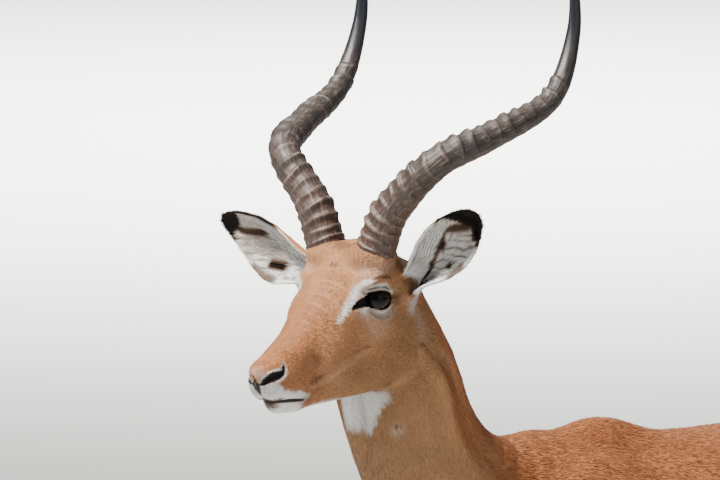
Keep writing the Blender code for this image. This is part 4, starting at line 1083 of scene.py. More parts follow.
class Markings:
    """Where the coat is red, fawn, white, dark or bare, as smooth functions of place; some dark
    and dusky marks are painted shade, some pale ones painted highlight.
    """

    # dusk is the dusky olive-brown of the nose bridge and also painted shade on the cheeks, jowl
    # and neck
    NAMES = ("saddle", "white", "dark", "dusk", "bare")
    WHITE_PATCHES = (
        Patch((16.9, 0.2, -3.0), (0.6, 1.2, 0.7), 0.6, 0.2),
        Patch((0.2, 4.4, 3.4), (2.4, 1.6, 1.0), 0.8, 0.12),
        Patch((-4.6, 5.2, -1.6), (1.1, 1.3, 1.5), 0.6, 0.5),
        Patch((-5.6, 4.9, -4.2), (0.8, 1.3, 2.2), 0.9, 0.12),
        Patch((1.5, 4.6, -2.2), (1.5, 1.3, 1.6), 0.9, 0.10),
        Patch((-2.0, 2.5, -15.0), (0.45, 0.8, 0.6), 0.8, 0.2),
        Patch((-3.9, 4.6, 2.3), (0.7, 1.0, 0.7), 0.5, 0.35))
    DARK_PATCHES = (
        # The first patch is painted shade in the hollow of the cheek.
        Patch((9.8, 2.8, -3.8), (0.55, 1.2, 0.95), 0.8, 0.38),
        Patch((-2.0, 2.6, -14.6), (0.25, 0.6, 0.28), 0.6, 0.75),
        Patch((12.0, 2.3, -7.4), (0.7, 1.2, 0.5), 0.6, 0.35),
        Patch((1.6, 0.3, 4.0), (0.28, 0.3, 0.4), 0.3, 0.7),
        Patch((-0.9, 0.5, 5.2), (0.9, 1.1, 0.9), 0.5, 0.5),
        Patch((-3.3, 5.5, 1.2), (0.4, 1.2, 1.8), 0.6, 0.25))
    # Dark hair streaks and spots inside each ear, with painted shade in its central fold, slits
    # and hollows.
    EAR_MARKS = {
        1: (EarMark((0.74, 0.28), (0.58, -0.05), 0.06, 0.85),
            EarMark((0.57, -0.06), (0.43, 0.06), 0.022, 0.75),
            EarMark((0.44, 0.04), (0.38, 0.12), 0.045, 0.95),
            EarMark((0.38, 0.12), (0.22, 0.23), 0.022, 0.75),
            EarMark((0.23, 0.22), (0.04, 0.70), 0.034), EarMark((0.36, 0.63), (0.38, 0.70), 0.026),
            EarMark((0.41, 1.0), (0.49, 0.97), 0.06, 0.65)),
        -1: (EarMark((0.88, 0.38), (0.69, 0.05), 0.05, 0.85),
             EarMark((0.67, 0.02), (0.62, -0.04), 0.042, 0.9),
             EarMark((0.49, 0.57), (0.38, 0.47), 0.065),
             EarMark((0.64, 1.0), (0.44, 0.95), 0.06, 0.7),
             EarMark((0.75, 0.5), (0.5, 0.3), 0.09, 0.35))}
    EAR_TIPS = {1: (0.71, 0.60), -1: (0.87, 0.45)}
    # Nostril, philtrum and mouth are black bare skin; the folds and wrinkles are painted shade in
    # their creases.
    LINE_MARKS = (           # dark lines: name, strength and the part of the width that is full
        ("nostril", 1.0, 0.85), ("philtrum", 1.0, 0.75), ("mouth", 1.0, 0.7),
        ("lid_fold", 0.8, 0.4), ("brow_fold", 0.6, 0.4), ("lip_fold", 0.3, 0.3),
        ("cheek_fold", 0.4, 0.3), ("wrinkle_inner", 0.22, 0.2), ("wrinkle_outer", 0.22, 0.2),
        ("wrinkle_temple", 0.22, 0.2))

    def __init__(self, face: Face) -> None:
        """Keep the face's lines, which some markings follow."""
        self.face = face

    def at(self, points: Array, normals: Array) -> dict[str, Array]:
        """Every marking's strength at points of the skin.

        Args:
            points: world points in centimetres.
            normals: the skin's outward direction there.

        Returns:
            One array for each name in NAMES.
        """
        marks = {name: np.zeros(len(points)) for name in self.NAMES}
        self.mark_body(points, normals, marks)
        head = HEAD.folded(points)
        near = np.flatnonzero((head[:, 0] > -9) & (head[:, 2] > -20))
        if len(near):
            self.mark_head(points[near], head[near], near, marks)
        self.mark_ears(points, marks)
        return {name: np.clip(values, 0.0, 1.0) for name, values in marks.items()}

    def mark_body(self, points: Array, normals: Array, marks: dict[str, Array]) -> None:
        """Saddle, white belly and rump, dark buttock stripes, tail line and heel tufts, with
        painted shade on the front of the neck.
        """
        forward, left, up = BODY.inward(*points.T)
        inward_facing = np.sign(-points[:, 1]) * normals[:, 1]
        border = 74.5 + 1.3 * np.sin(forward * 0.09) + 0.7 * ripple(points, 0.22, 3)
        border -= 7.0 * rise(2.0, 14.0, forward)
        saddle = rise(border - 1.6, border + 1.6, up)
        saddle *= 1 - rise(62.0, 55.0, up)
        saddle += 0.22 * rise(50.0, 30.0, up)
        neck = rise(14.0, 22.0, forward) * rise(78.0, 88.0, up)
        marks["saddle"] = saddle * (1 - 0.55 * neck * rise(0.7, 0.1, normals[:, 0]))
        belly = 60.2 + 0.06 * np.abs(forward + 18.0) + 3.6 * rise(-30.0, -44.0, forward)
        belly -= 2.5 * rise(0.0, 10.0, forward)
        white = rise(belly + 1.2, belly - 1.8, up) * rise(44.0, 50.0, up)
        white *= most(between(-47.0, 9.0, 3.0, forward), rise(0.0, 0.6, inward_facing))
        inner = rise(0.15, 0.75, inward_facing) * between(24.0, 62.0, 7.0, up)
        chest = rise(11.0, 16.0, forward) * rise(2.4, 0.8, left) * between(50.0, 68.0, 3.0, up)
        cleft = rise(-63.0, -66.0, forward) * rise(3.6, 2.2, left) * between(56.0, 82.5, 2.0, up)
        white = most(white, 0.85 * inner, 0.6 * chest, cleft)
        stripe = rise(-62.0, -64.5, forward) * between(3.9, 5.4, 0.5, left)
        stripe *= between(62.0, 81.0, 2.5, up)
        tail = rise(-68.4, -69.6, forward) * between(57.0, 86.0, 1.0, up) * rise(3.0, 2.4, left)
        white = most(white * (1 - tail), tail * rise(0.45, 0.9, left))
        marks["dark"] = most(
            0.96 * stripe, tail * rise(0.55, 0.25, left) * rise(-70.2, -71.4, forward),
            rise(-69.0, -69.8, forward) * between(15.5, 22.5, 1.2, up),
            # painted shade: darker where the neck faces forward
            0.25 * neck * rise(-0.1, -0.8, normals[:, 0]), 0.8 * rise(6.4, 5.0, up))
        marks["dusk"] = 0.25 * rise(16.0, 9.0, up) + 0.22 * rise(30.0, 40.0, up) * \
            rise(45.0, 38.0, up)
        # painted shade: duskier where the neck faces forward
        marks["dusk"] += 0.42 * neck * rise(0.6, -0.1, normals[:, 0])
        marks["white"] = white * (1 - marks["dark"])

    def mark_head(self, points: Array, head: Array, near: Array, marks: dict[str, Array]) -> None:
        """Brow, cheeks, lips, chin, throat, nostrils, lids and creases, with painted shade in
        creases and hollows and painted highlight on ridges.
        """
        forward, left, up = head.T
        signed = (points - HEAD.origin) @ HEAD.rows[1]
        line = self.face.lines
        wave = 0.12 * ripple(points, 1.9, 5)
        moved = head + wave[:, None]
        lip_edge = np.interp(forward, [9.5, 11.2, 12.0, 13.6, 15.05, 15.75, 16.6, 18.0],
                             [-8.9, -6.9, -6.4, -5.85, -5.2, -4.25, -3.9, -3.6]) + wave
        behind = np.interp(up, [-9.5, -8.0, -7.4, -6.8], [12.9, 12.4, 11.9, 11.0])
        under = np.interp(forward, [-4, 0, 4, 8, 12], [-11.1, -10.6, -9.3, -8.4, -8.2]) + wave
        throat = between(-15.7, -11.2, 0.5, up + 2.0 * wave) * rise(-4.6, -3.2, forward + wave)
        slant = signed - 1.9 - 0.64 * (up + 11.5) + 1.5 * wave
        throat *= rise(0.4, -0.4, slant) * rise(-5.6, -4.8, signed)
        local = self.face.eye.local(head)
        ahead, over, _ = local.T
        gap = self.face.eye.gap_near(local)
        above = (over > 0) * rise(3.4, 2.0, ahead) * rise(-2.2, -1.2, ahead)
        lid = between(0.08, 0.27, 0.06, gap) + between(0.38, 0.66, 0.08, gap)
        below = rise(1.7, 0.1, gap) * (over < 0) * between(-1.3, 3.6, 0.9, ahead)
        white = most(
            *(patch.mask(moved) for patch in self.WHITE_PATCHES),
            0.92 * rise(0.3, -0.25, up - lip_edge) * rise(-0.4, 0.4, forward - behind),
            0.65 * rise(1.6, 1.25, line["nostril"].near(head)),
            # painted highlight along the raised facial crest
            0.06 * line["crest"].mask(head, 0.0),
            0.9 * rise(0.3, -0.35, up - under) * rise(-2.6, -1.2, forward)
            * rise(-12.3, -11.6, up) * rise(2.7, 1.8, left),
            0.95 * throat, 0.85 * lid * above, 0.55 * below,
            0.92 * line["brow_stripe"].mask(head, 0.0))
        rim = rise(0.14, 0.04, gap)
        far = line["far_nostril"].mask(head, 0.7) * rise(0.25, 0.05, signed)
        front_lip = rise(1.9, 1.2, line["mouth"].near(head)) * rise(14.6, 15.4, forward)
        dark = most(
            *(patch.mask(moved) for patch in self.DARK_PATCHES),
            *(strength * line[name].mask(head, core) for name, strength, core in self.LINE_MARKS),
            0.95 * far, 0.7 * front_lip, rim, 0.7 * between(0.27, 0.38, 0.05, gap) * above)
        marks["bare"][near] = most(rim, far, line["nostril"].mask(head, 0.8),
                                   line["philtrum"].mask(head, 0.8),
                                   line["mouth"].mask(head, 0.7))
        bridge = rise(8.0, 12.0, forward) * rise(2.4, 0.8, left) * rise(-2.0, -0.8, up)
        # painted shade behind the eye (cheek) and on the jowl; the bridge's dusky band is the
        # coat's own
        cheek = rise(2.5, -2.0, forward) * rise(4.0, 2.5, up)
        jowl_shade = rise(-4.5, -7.0, up) * rise(12.0, 6.0, forward)
        dusk = most(0.22 * bridge, 0.34 * cheek, 0.42 * jowl_shade)
        face = rise(-9.0, -2.0, forward) * rise(-19.0, -10.0, up)
        # Painted shade in the hollow behind the neck's ridge: redder, darker and duskier there.
        hollow = line["hollow"].mask(head, 0.0) * (1 - face)
        saddle = marks["saddle"][near] * (1 - face) + 0.62 * face + 0.1 * hollow
        marks["saddle"][near] = saddle + 0.25 * face * rise(4.0, 9.0, forward) * \
            rise(3.2, 1.6, left)
        marks["white"][near] = most(marks["white"][near], white) * (1 - dark)
        marks["dark"][near] = most(marks["dark"][near], dark, 0.12 * hollow)
        dusk = marks["dusk"][near] * (1 - face) + dusk * face + 0.35 * hollow
        # Painted highlight: less dusk along the neck's ridge.
        marks["dusk"][near] = dusk * (1 - 0.6 * line["ridge"].mask(head, 0.0))

    def mark_ears(self, points: Array, marks: dict[str, Array]) -> None:
        """White insides with dark streaks and painted shade in their folds, tan backs and black
        tips.
        """
        for ear in EARS:
            near = ear.near(points)
            if not len(near):
                continue
            spot = ear.locate(*points[near].T)
            place, across = spot["place"], spot["across"]
            on_ear = rise(0.6, 0.35, spot["sheet"]) * rise(0.0, 0.05, place)
            inside = rise(0.05, -0.05, spot["out"]) * rise(1.15, 1.05, np.abs(across))
            rim = rise(0.86, 0.95, np.abs(across))
            tip, rim_start = self.EAR_TIPS[ear.side]
            ragged = 0.02 * ripple(points[near], 0.9, 21)
            fan = np.sin(75.0 * (place - 0.5 * np.abs(across - 0.2)) + 9.0 * across + 40 * ragged)
            dark = most(
                rise(tip - 0.02, tip + 0.03, place + ragged),
                0.45 * rise(0.3, 0.95, fan) * inside * between(0.12, 0.9, 0.05, place)
                * rise(0.95, 0.8, np.abs(across)),
                rim * rise(0.0, -0.5, across) * rise(rim_start, rim_start + 0.1, place),
                (1 - inside) * rise(0.62, 0.78, place + 0.08 * np.abs(across) + ragged),
                *(inside * mark.mask(place, across) for mark in self.EAR_MARKS[ear.side]))
            white = most(inside * (1 - 0.25 * rise(0.5, 0.8, place)),
                         rim * rise(0.2, 0.6, across) * rise(0.8, 0.7, place)) * (1 - dark)
            for name, value in (("saddle", 0.55), ("white", white), ("dark", dark),
                                ("dusk", 0.1)):
                marks[name][near] = marks[name][near] * (1 - on_ear) + value * on_ear
            marks["bare"][near] = most(marks["bare"][near], 0.5 * inside * on_ear)


def ripple(points: Array, scale: float, seed: int) -> Array:
    """A soft random wave over space, about one unit high, with waves of 1 / scale."""
    rng = np.random.default_rng(seed)
    total = np.zeros(len(points))
    for _ in range(6):
        way = unit(rng.normal(size=3)) * scale * 2 * math.pi * rng.uniform(0.5, 1.4)
        total += np.sin(points @ way + rng.uniform(0, 6.28))
    return total / 2.4


# ---- the way the hair lies


class Lie:
    """The direction in which the hair lies, from the nose back and down to the feet."""

    def at(self, points: Array, normals: Array) -> Array:
        """Unit directions along the skin.

        Args:
            points: world points in centimetres.
            normals: the skin's outward direction there.

        Returns:
            One direction for each point, at right angles to its normal.
        """
        forward, _, up = BODY.inward(*points.T)
        haunch = (0.55, 0.0, -1.0)
        flow = np.tile([1.0, 0.0, -0.30], (len(points), 1))
        for way, part in (
                ((1.0, 0.0, 0.0), rise(62.0, 57.0, up) * between(-44.0, 8.0, 4.0, forward)),
                (haunch, rise(-42.0, -56.0, forward) * rise(92.0, 80.0, up)),
                (haunch, 0.7 * rise(-2.0, 8.0, forward) * rise(86.0, 72.0, up)),
                ((0.12, 0.0, -1.0), rise(60.0, 50.0, up)),
                ((0.42, 0.12, -1.0), rise(14.0, 22.0, forward) * rise(76.0, 84.0, up))):
            flow = mixed(flow, np.array([way]), part)
        head = HEAD.folded(points)
        face = rise(14.5, 9.5, np.linalg.norm(head * [0.55, 1, 1], axis=1))
        sign = np.where((points - HEAD.origin) @ HEAD.rows[1] > 0, 1.0, -1.0)
        sweep = np.stack([np.full(len(points), -1.0), 0.30 * sign,
                          np.interp(head[:, 2], [-8, -2, 3], [-0.35, -0.2, 0.1])], axis=1)
        flow = mixed(flow, sweep @ HEAD.rows, face)
        for ear in EARS:
            near = ear.near(points)
            spot = ear.locate(*points[near].T)
            along, _, across = (HEAD.one_side(ear.side).facing(axis) for axis in ear.basis)
            spread = along[None] + (0.7 * spot["across"])[:, None] * across[None]
            flow[near] = mixed(flow[near], spread, rise(0.7, 0.4, spot["sheet"])
                               * rise(0.02, 0.1, spot["place"]))
        flow = flow + np.cross(normals, flow) * (0.16 * ripple(points, 0.35, 9))[:, None]
        flow = flow - normals * (flow * normals).sum(axis=1, keepdims=True)
        return units(flow)


def mixed(before: Array, after: Array, part: Array) -> Array:
    """Rows turned part of the way from one direction to another."""
    return units(before) * (1 - part)[:, None] + units(after) * part[:, None]


# ---- the coat's hair


def vertex_normals(points: Array, triangles: Array) -> Array:
    """Outward directions at the points of a triangle mesh, weighted by area."""
    a, b, c = (points[triangles[:, i]] for i in range(3))
    normal = np.cross(b - a, c - a)
    total = np.zeros_like(points)
    for i in range(3):
        for axis in range(3):
            total[:, axis] += np.bincount(triangles[:, i], normal[:, axis], len(points))
    return units(total)


def triangles_of(faces: Sequence[Sequence[int]]) -> Array:
    """Three- and four-cornered faces as triangles."""
    found = []
    for face in faces:
        found += [face[:3]] if len(face) == 3 else [face[:3], (face[0], face[2], face[3])]
    return np.array(found)


def linked(name: str, data: bpy.types.ID) -> bpy.types.Object:
    """A new object with this data, in the scene."""
    made = bpy.data.objects.new(name, data)
    bpy.context.scene.collection.objects.link(made)
    return made


def mesh_object(name: str, points: Array, faces: Array | list, material: Material,
                values: dict[str, Array]) -> bpy.types.Object:
    """A new object from points in centimetres, riding on the body.

    Args:
        name: the piece's name.
        points: one row for each vertex.
        faces: rows of vertex numbers.
        material: its finish.
        values: numbers to store on it, one for each vertex, by name.

    Returns:
        The object, with smooth faces.
    """
    mesh = bpy.data.meshes.new(name)
    if isinstance(faces, np.ndarray):
        sides = faces.shape[1]
        mesh.vertices.add(len(points))
        mesh.loops.add(faces.size)
        mesh.polygons.add(len(faces))
        mesh.vertices.foreach_set("co", (points * CM).ravel())
        mesh.loops.foreach_set("vertex_index", faces.ravel().astype(np.int32))
        mesh.polygons.foreach_set("loop_start", np.arange(0, faces.size, sides, dtype=np.int32))
    else:
        mesh.from_pydata((points * CM).tolist(), [], faces)
    mesh.polygons.foreach_set("use_smooth", np.ones(len(mesh.polygons), bool))
    mesh.update()
    mesh.validate()
    made = linked(name, mesh)
    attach(made, "root")
    NEW_PIECES.add(name)
    for key, row in values.items():
        stored = mesh.attributes.new(key, "FLOAT", "POINT")
        stored.data.foreach_set("value", row.ravel().astype(np.float32))
    mesh.materials.append(material)
    return made


class Unwrap:
    """Lays the skin out flat, each part of the body in a cell of its own."""

    MARGIN = 0.02

    @classmethod
    def cell(cls, u: Array, v: Array, left: float, low: float, wide: float,
             tall: float) -> Array:
        """Places inside one cell, from coordinates that run from 0 to 1."""
        u, v = (cls.MARGIN + (1 - 2 * cls.MARGIN) * np.clip(part, 0, 1) for part in (u, v))
        return np.stack([left + wide * u, low + tall * v], axis=1)

    @classmethod
    def at(cls, points: Array) -> Array:
        """The flat place of each point of the skin."""
        forward, left, up = BODY.inward(*points.T)
        signed = -points[:, 1]
        flat = cls.cell(turn_of(signed, up - 72.0), (forward + 76.0) / 110.0, 0.0, 0.0, 1.0, 0.40)
        head = HEAD.signed(points)
        on_neck = (up > 80.0) & (forward > 14.0)
        flat[on_neck] = cls.cell(turn_of(signed + 2.0, forward - 26.0), (up - 78.0) / 30.0,
                                 0.0, 0.40, 0.5, 0.25)[on_neck]
        on_head = np.linalg.norm(head * [0.55, 1.0, 1.0], axis=1) < 11.0
        flat[on_head] = cls.cell(turn_of(head[:, 1], head[:, 2] + 3.0), (head[:, 0] + 8.0) / 27.0,
                                 0.5, 0.40, 0.5, 0.25)[on_head]
        for number, (side, fore) in enumerate(((1, True), (-1, True), (1, False), (-1, False))):
            part = (up < 55.0) & (signed * side > 0) & ((forward > -20.0) == fore)
            axis = 8.5 if fore else -66.0
            flat[part] = cls.cell(turn_of(left - 6.6, forward - axis), up / 56.0,
                                  0.25 * number, 0.65, 0.25, 0.20)[part]
        for number, ear in enumerate(EARS):
            near = ear.near(points)
            spot = ear.locate(*points[near].T)
            chosen = (spot["sheet"] < 0.6) & (spot["place"] > 0.02)
            for face, inside in ((0, True), (1, False)):
                mine = chosen & ((spot["out"] < 0) == inside)
                flat[near[mine]] = cls.cell(spot["across"] / 2.4 + 0.5, spot["place"],
                                            0.5 * number + 0.25 * face, 0.85, 0.25, 0.15)[mine]
        return flat


def turn_of(beside: Array, above: Array) -> Array:
    """How far round an axis points lie, from 0 to 1."""
    return np.arctan2(beside, above) / (2 * math.pi) + 0.5


@dataclass(frozen=True)
class Roots:
    """Where hairs grow: places, outward directions, the way they lie and a random number."""

    points: Array
    normals: Array
    lie: Array
    chance: Array

    def chosen(self, mask: Array) -> "Roots":
        """Only some of the roots."""
        return Roots(self.points[mask], self.normals[mask], self.lie[mask], self.chance[mask])


@dataclass
class Hair:
    """Tapered blades of hair with the same number of joints each."""

    joints: int = 3

    def grow(self, roots: Roots, length: Array, width: Array, lift: Array, droop: float,
             rng: np.random.Generator) -> tuple[Array, Array, Array, Array]:
        """Blades from the roots.

        Args:
            roots: where they grow.
            length: of each blade, in centimetres.
            width: at the root of each blade.
            lift: how far each tip stands off the skin.
            droop: how far the tips fall, in parts of the length.
            rng: for small differences of direction.

        Returns:
            Points, triangles, normals and the place along the blade of each point.
        """
        count = len(roots.points)
        across = units(np.cross(roots.normals, roots.lie)
                       + rng.normal(0, 0.12, (count, 3)))
        rows, along = [], []
        for step in np.linspace(0, 1, self.joints):
            height = lift * (1 - (1 - step) ** 2) - 0.03 * (step == 0)
            middle = (roots.points + roots.lie * (length * step)[:, None]
                      + roots.normals * height[:, None])
            middle[:, 2] -= droop * length * step ** 2
            half = 0.5 * width * (1 - 0.25 * step)
            blade = [middle - across * half[:, None], middle + across * half[:, None]]
            blade = blade if step < 1 else [middle]
            rows += blade
            along += [np.full(count, step)] * len(blade)
        points = np.stack(rows, axis=1)
        per = points.shape[1]
        pattern = []
        for a in range(0, 2 * (self.joints - 2), 2):
            pattern += [(a, a + 3, a + 1), (a, a + 2, a + 3)]
        pattern.append((per - 3, per - 1, per - 2))
        faces = (np.arange(count)[:, None, None] * per + np.array(pattern)[None]).reshape(-1, 3)
        tilt = units(roots.normals + 0.35 * across * rng.normal(0, 1, (count, 1))
                     + 0.22 * roots.lie)
        normals = np.repeat(tilt, per, axis=0)
        return points.reshape(-1, 3), faces, normals, np.stack(along, axis=1).reshape(-1)


class Coat:
    """The short coat over the whole animal, and its long hair at tail, ears and heels."""

    SEED = 7
    HAIRS = {"trunk": 228000, "legs": 72000, "head": 106000, "ears": 38000, "tail": 9000,
             "heels": 3000}
    PATCH = 0.0015           # half the width of one hair's patch in the flat layout

    def __init__(self, skin: Skin, marks: Markings, lie: Lie) -> None:
        """Find where hair can grow."""
        self.points = skin.points
        self.triangles = triangles_of(skin.faces)
        self.normals = vertex_normals(self.points, self.triangles)
        self.marks = marks
        self.lie = lie
        corners = self.points[self.triangles]
        a, b, c = corners.transpose(1, 0, 2)
        self.areas = np.linalg.norm(np.cross(b - a, c - a), axis=1) / 2
        self.middles = corners.mean(axis=1)
        self.rng = np.random.default_rng(self.SEED)

    def scatter(self, count: int, density: Array) -> Roots:
        """Random roots on the skin, more where the density is more."""
        weight = self.areas * density
        chosen = self.rng.choice(len(weight), count, p=weight / weight.sum())
        a, b = self.rng.random((2, count))
        swap = a + b > 1
        a[swap] = 1 - a[swap]
        b[swap] = 1 - b[swap]
        corner = self.triangles[chosen]
        part = np.stack([1 - a - b, a, b], axis=1)[:, :, None]
        points = (self.points[corner] * part).sum(axis=1)
        normals = units((self.normals[corner] * part).sum(axis=1))
        return Roots(points, normals, self.lie.at(points, normals), self.rng.random(count))

    def piece(self, name: str, roots: Roots, hair: Hair, length: Array, width: Array,
              lift: Array, material: Material, droop: float = 0.0) -> None:
        """One piece of the coat as an object with its markings and its flat layout."""
        points, faces, normals, along = hair.grow(roots, length, width, lift, droop, self.rng)
        per = 2 * hair.joints - 1
        values = self.marks.at(roots.points, roots.normals) | {"strand": roots.chance}
        values = {key: np.repeat(row, per) for key, row in values.items()} | {"along": along}
        mesh = mesh_object(name, points, faces, material, values).data
        flat = Unwrap.at(roots.points)
        turn = np.linspace(0, 2 * math.pi, per, endpoint=False)
        patch = self.PATCH * np.stack([np.cos(turn), np.sin(turn)], axis=1)
        places = (flat[:, None, :] + patch[None]).reshape(-1, 2)
        layer = mesh.uv_layers.new(name="OFBake")
        layer.data.foreach_set("uv", places[faces.ravel()].astype(np.float32).ravel())
        mesh.normals_split_custom_set_from_vertices(normals.tolist())
        LOG.info("%s: %d hairs, %d triangles", name, len(roots.points), len(faces))

    def trunk(self, material: Material) -> None:
        """Flat hair over neck, trunk and haunches."""
        away = near_head(self.middles)
        density = rise(11.5, 15.0, away) * rise(46.0, 50.0, self.middles[:, 2])
        density *= off_ears(self.middles)
        density *= 1.0 + 0.9 * rise(45.0, 22.0, away)
        roots = self.scatter(self.HAIRS["trunk"], density)
        self.split("coat_trunk", roots, material, "saddle_coat", 4,
                   lambda p: 0.60 + 0.10 * rise(60.0, 75.0, p[:, 2]), wide=0.068)

    def legs(self, material: Material) -> None:
        """Short hair over the legs."""
        up = self.middles[:, 2]
        roots = self.scatter(self.HAIRS["legs"], rise(52.0, 46.0, up) * rise(4.0, 5.0, up))
        self.split("coat_legs", roots, material, "flank_coat", 2,
                   lambda p: 0.42 + 0.3 * rise(30.0, 50.0, p[:, 2]), wide=0.075)

    def head(self, material: Material) -> None:
        """The finest hair, over the face and poll."""
        place = self.middles
        face = self.marks.face
        head = HEAD.folded(place)
        density = rise(16.5, 12.5, near_head(place)) * off_ears(place)
        density *= rise(0.06, 0.22, face.eye.gap_near(face.eye.local(head)))
        for name in ("nostril", "philtrum", "mouth"):
            density *= 1 - face.lines[name].mask(head, 0.9)
        roots = self.scatter(self.HAIRS["head"], density)
        self.split("coat_head", roots, material, "flank_coat", 2,
                   lambda p: 0.26 + 0.30 * rise(12.0, -4.0, HEAD.inward(*p.T)[0]), wide=0.05)

    def split(self, name: str, roots: Roots, material: Material, slot: str, parts: int,
              long: Callable[[Array], Array], wide: float) -> None:
        """Cut one stretch of coat into pieces by how far along the body the hairs grow."""
        order = np.argsort(roots.points[:, 0])
        for number, chosen in enumerate(np.array_split(order, parts)):
            mine = roots.chosen(chosen)
            chance = self.rng.random(len(chosen))
            length = long(mine.points) * (0.8 + 0.4 * chance)
            lift = 0.46 * coat_depth(mine.points) * (0.35 + 0.65 * self.rng.random(len(chosen)))
            self.piece(f"{name}_{number + 1}", mine, Hair(), length,
                       np.full(len(chosen), wide) * (0.8 + 0.4 * chance), lift, material)

    def ears(self, material: Material) -> None:
        """Short hair on the ears' backs and long white hair inside them."""
        roots = self.scatter(self.HAIRS["ears"], 1 - off_ears(self.middles))
        inside, spread = inside_ear(roots.points)
        chance = self.rng.random(len(roots.points))
        edge = rise(0.9, 0.75, spread)
        length = np.where(inside, 0.35 + 0.75 * edge, 0.38) * (0.6 + 0.7 * chance)
        lift = np.where(inside, 0.05 + 0.25 * edge, 0.04) * (0.3 + 0.7 * self.rng.random(
            len(chance)))
        self.piece("coat_ears", roots, Hair(), length, np.full(len(chance), 0.05), lift,
                   material)

    def tail(self, material: Material) -> None:
        """The tail's brush, dark down the middle and white at the sides."""
        place = self.middles
        density = (rise(69.5, 71.0, place[:, 0]) * (np.abs(place[:, 1]) < 2.5)
                   * (place[:, 2] > 56.0))
        roots = self.scatter(self.HAIRS["tail"], density)
        down = np.tile([0.05, 0.0, -1.0], (len(roots.points), 1))
        lie = down - roots.normals * (down * roots.normals).sum(axis=1, keepdims=True)
        roots = Roots(roots.points, roots.normals, units(units(lie) + 0.12 * roots.normals),
                      roots.chance)
        room = roots.points[:, 2] - BRUSH_END
        length = np.minimum(6.5 * (0.55 + 0.6 * self.rng.random(len(room))), room * 0.95)
        lift = (0.2 + 0.8 * self.rng.random(len(room))) * rise(84.0, 74.0, roots.points[:, 2])
        self.piece("coat_tail", roots, Hair(joints=5), length, np.full(len(room), 0.16), lift,
                   material)

    def heels(self, material: Material) -> None:
        """The dark tuft on the back of each hind cannon."""
        forward, _, up = BODY.inward(*self.middles.T)
        backward = units(self.normals[self.triangles].sum(axis=1))[:, 0]
        density = between(17.0, 21.8, 0.6, up) * (forward < -60.0) * rise(0.55, 0.85, backward)
        roots = self.scatter(self.HAIRS["heels"], density)
        length = 2.6 * (0.7 + 0.5 * self.rng.random(len(roots.points)))
        lift = 0.75 * (0.3 + 0.7 * self.rng.random(len(roots.points)))
        self.piece("coat_heels", roots, Hair(joints=4), length,
                   np.full(len(length), 0.12), lift, material)


def near_head(points: Array) -> Array:
    """Distance from the head's middle, its length counted short."""
    head = HEAD.signed(points)
    return np.linalg.norm((head - [4.0, 0.0, -2.0]) * [0.75, 1.0, 1.0], axis=1)


def off_ears(points: Array) -> Array:
    """0 on the ears, 1 elsewhere."""
    out = np.ones(len(points))
    for ear in EARS:
        near = ear.near(points)
        spot = ear.locate(*points[near].T)
        out[near] *= 1 - rise(0.6, 0.35, spot["sheet"]) * rise(0.03, 0.10, spot["place"])
    return out


def inside_ear(points: Array) -> tuple[Array, Array]:
    """Whether points lie inside the curl of an ear, and how near they are to its edge."""
    inside = np.zeros(len(points), bool)
    spread = np.zeros(len(points))
    for ear in EARS:
        near = ear.near(points)
        spot = ear.locate(*points[near].T)
        close = spot["sheet"] < 0.8
        inside[near[close & (spot["out"] < 0)]] = True
        reach = np.maximum(np.abs(spot["across"]), spot["place"])
        spread[near[close]] = reach[close]
    return inside, spread


# ---- horns, hooves and eyes


def tube_faces(rings: int, around: int, order: Sequence[int]) -> list[list[int]]:
    """Quads between rings of points.

    Args:
        rings: how many rings there are.
        around: how many points each ring has.
        order: a quad's corners: 0 and 1 lie on its lower ring, 2 above 1, and 3 above 0.

    Returns:
        One list of four vertex numbers for each quad.
    """
    a = np.arange(around)
    b = (a + 1) % around
    low = around * np.arange(rings - 1)[:, None]
    corners = (low + a, low + b, low + around + b, low + around + a)
    return np.stack([corners[i] for i in order], axis=2).reshape(-1, 4).tolist()


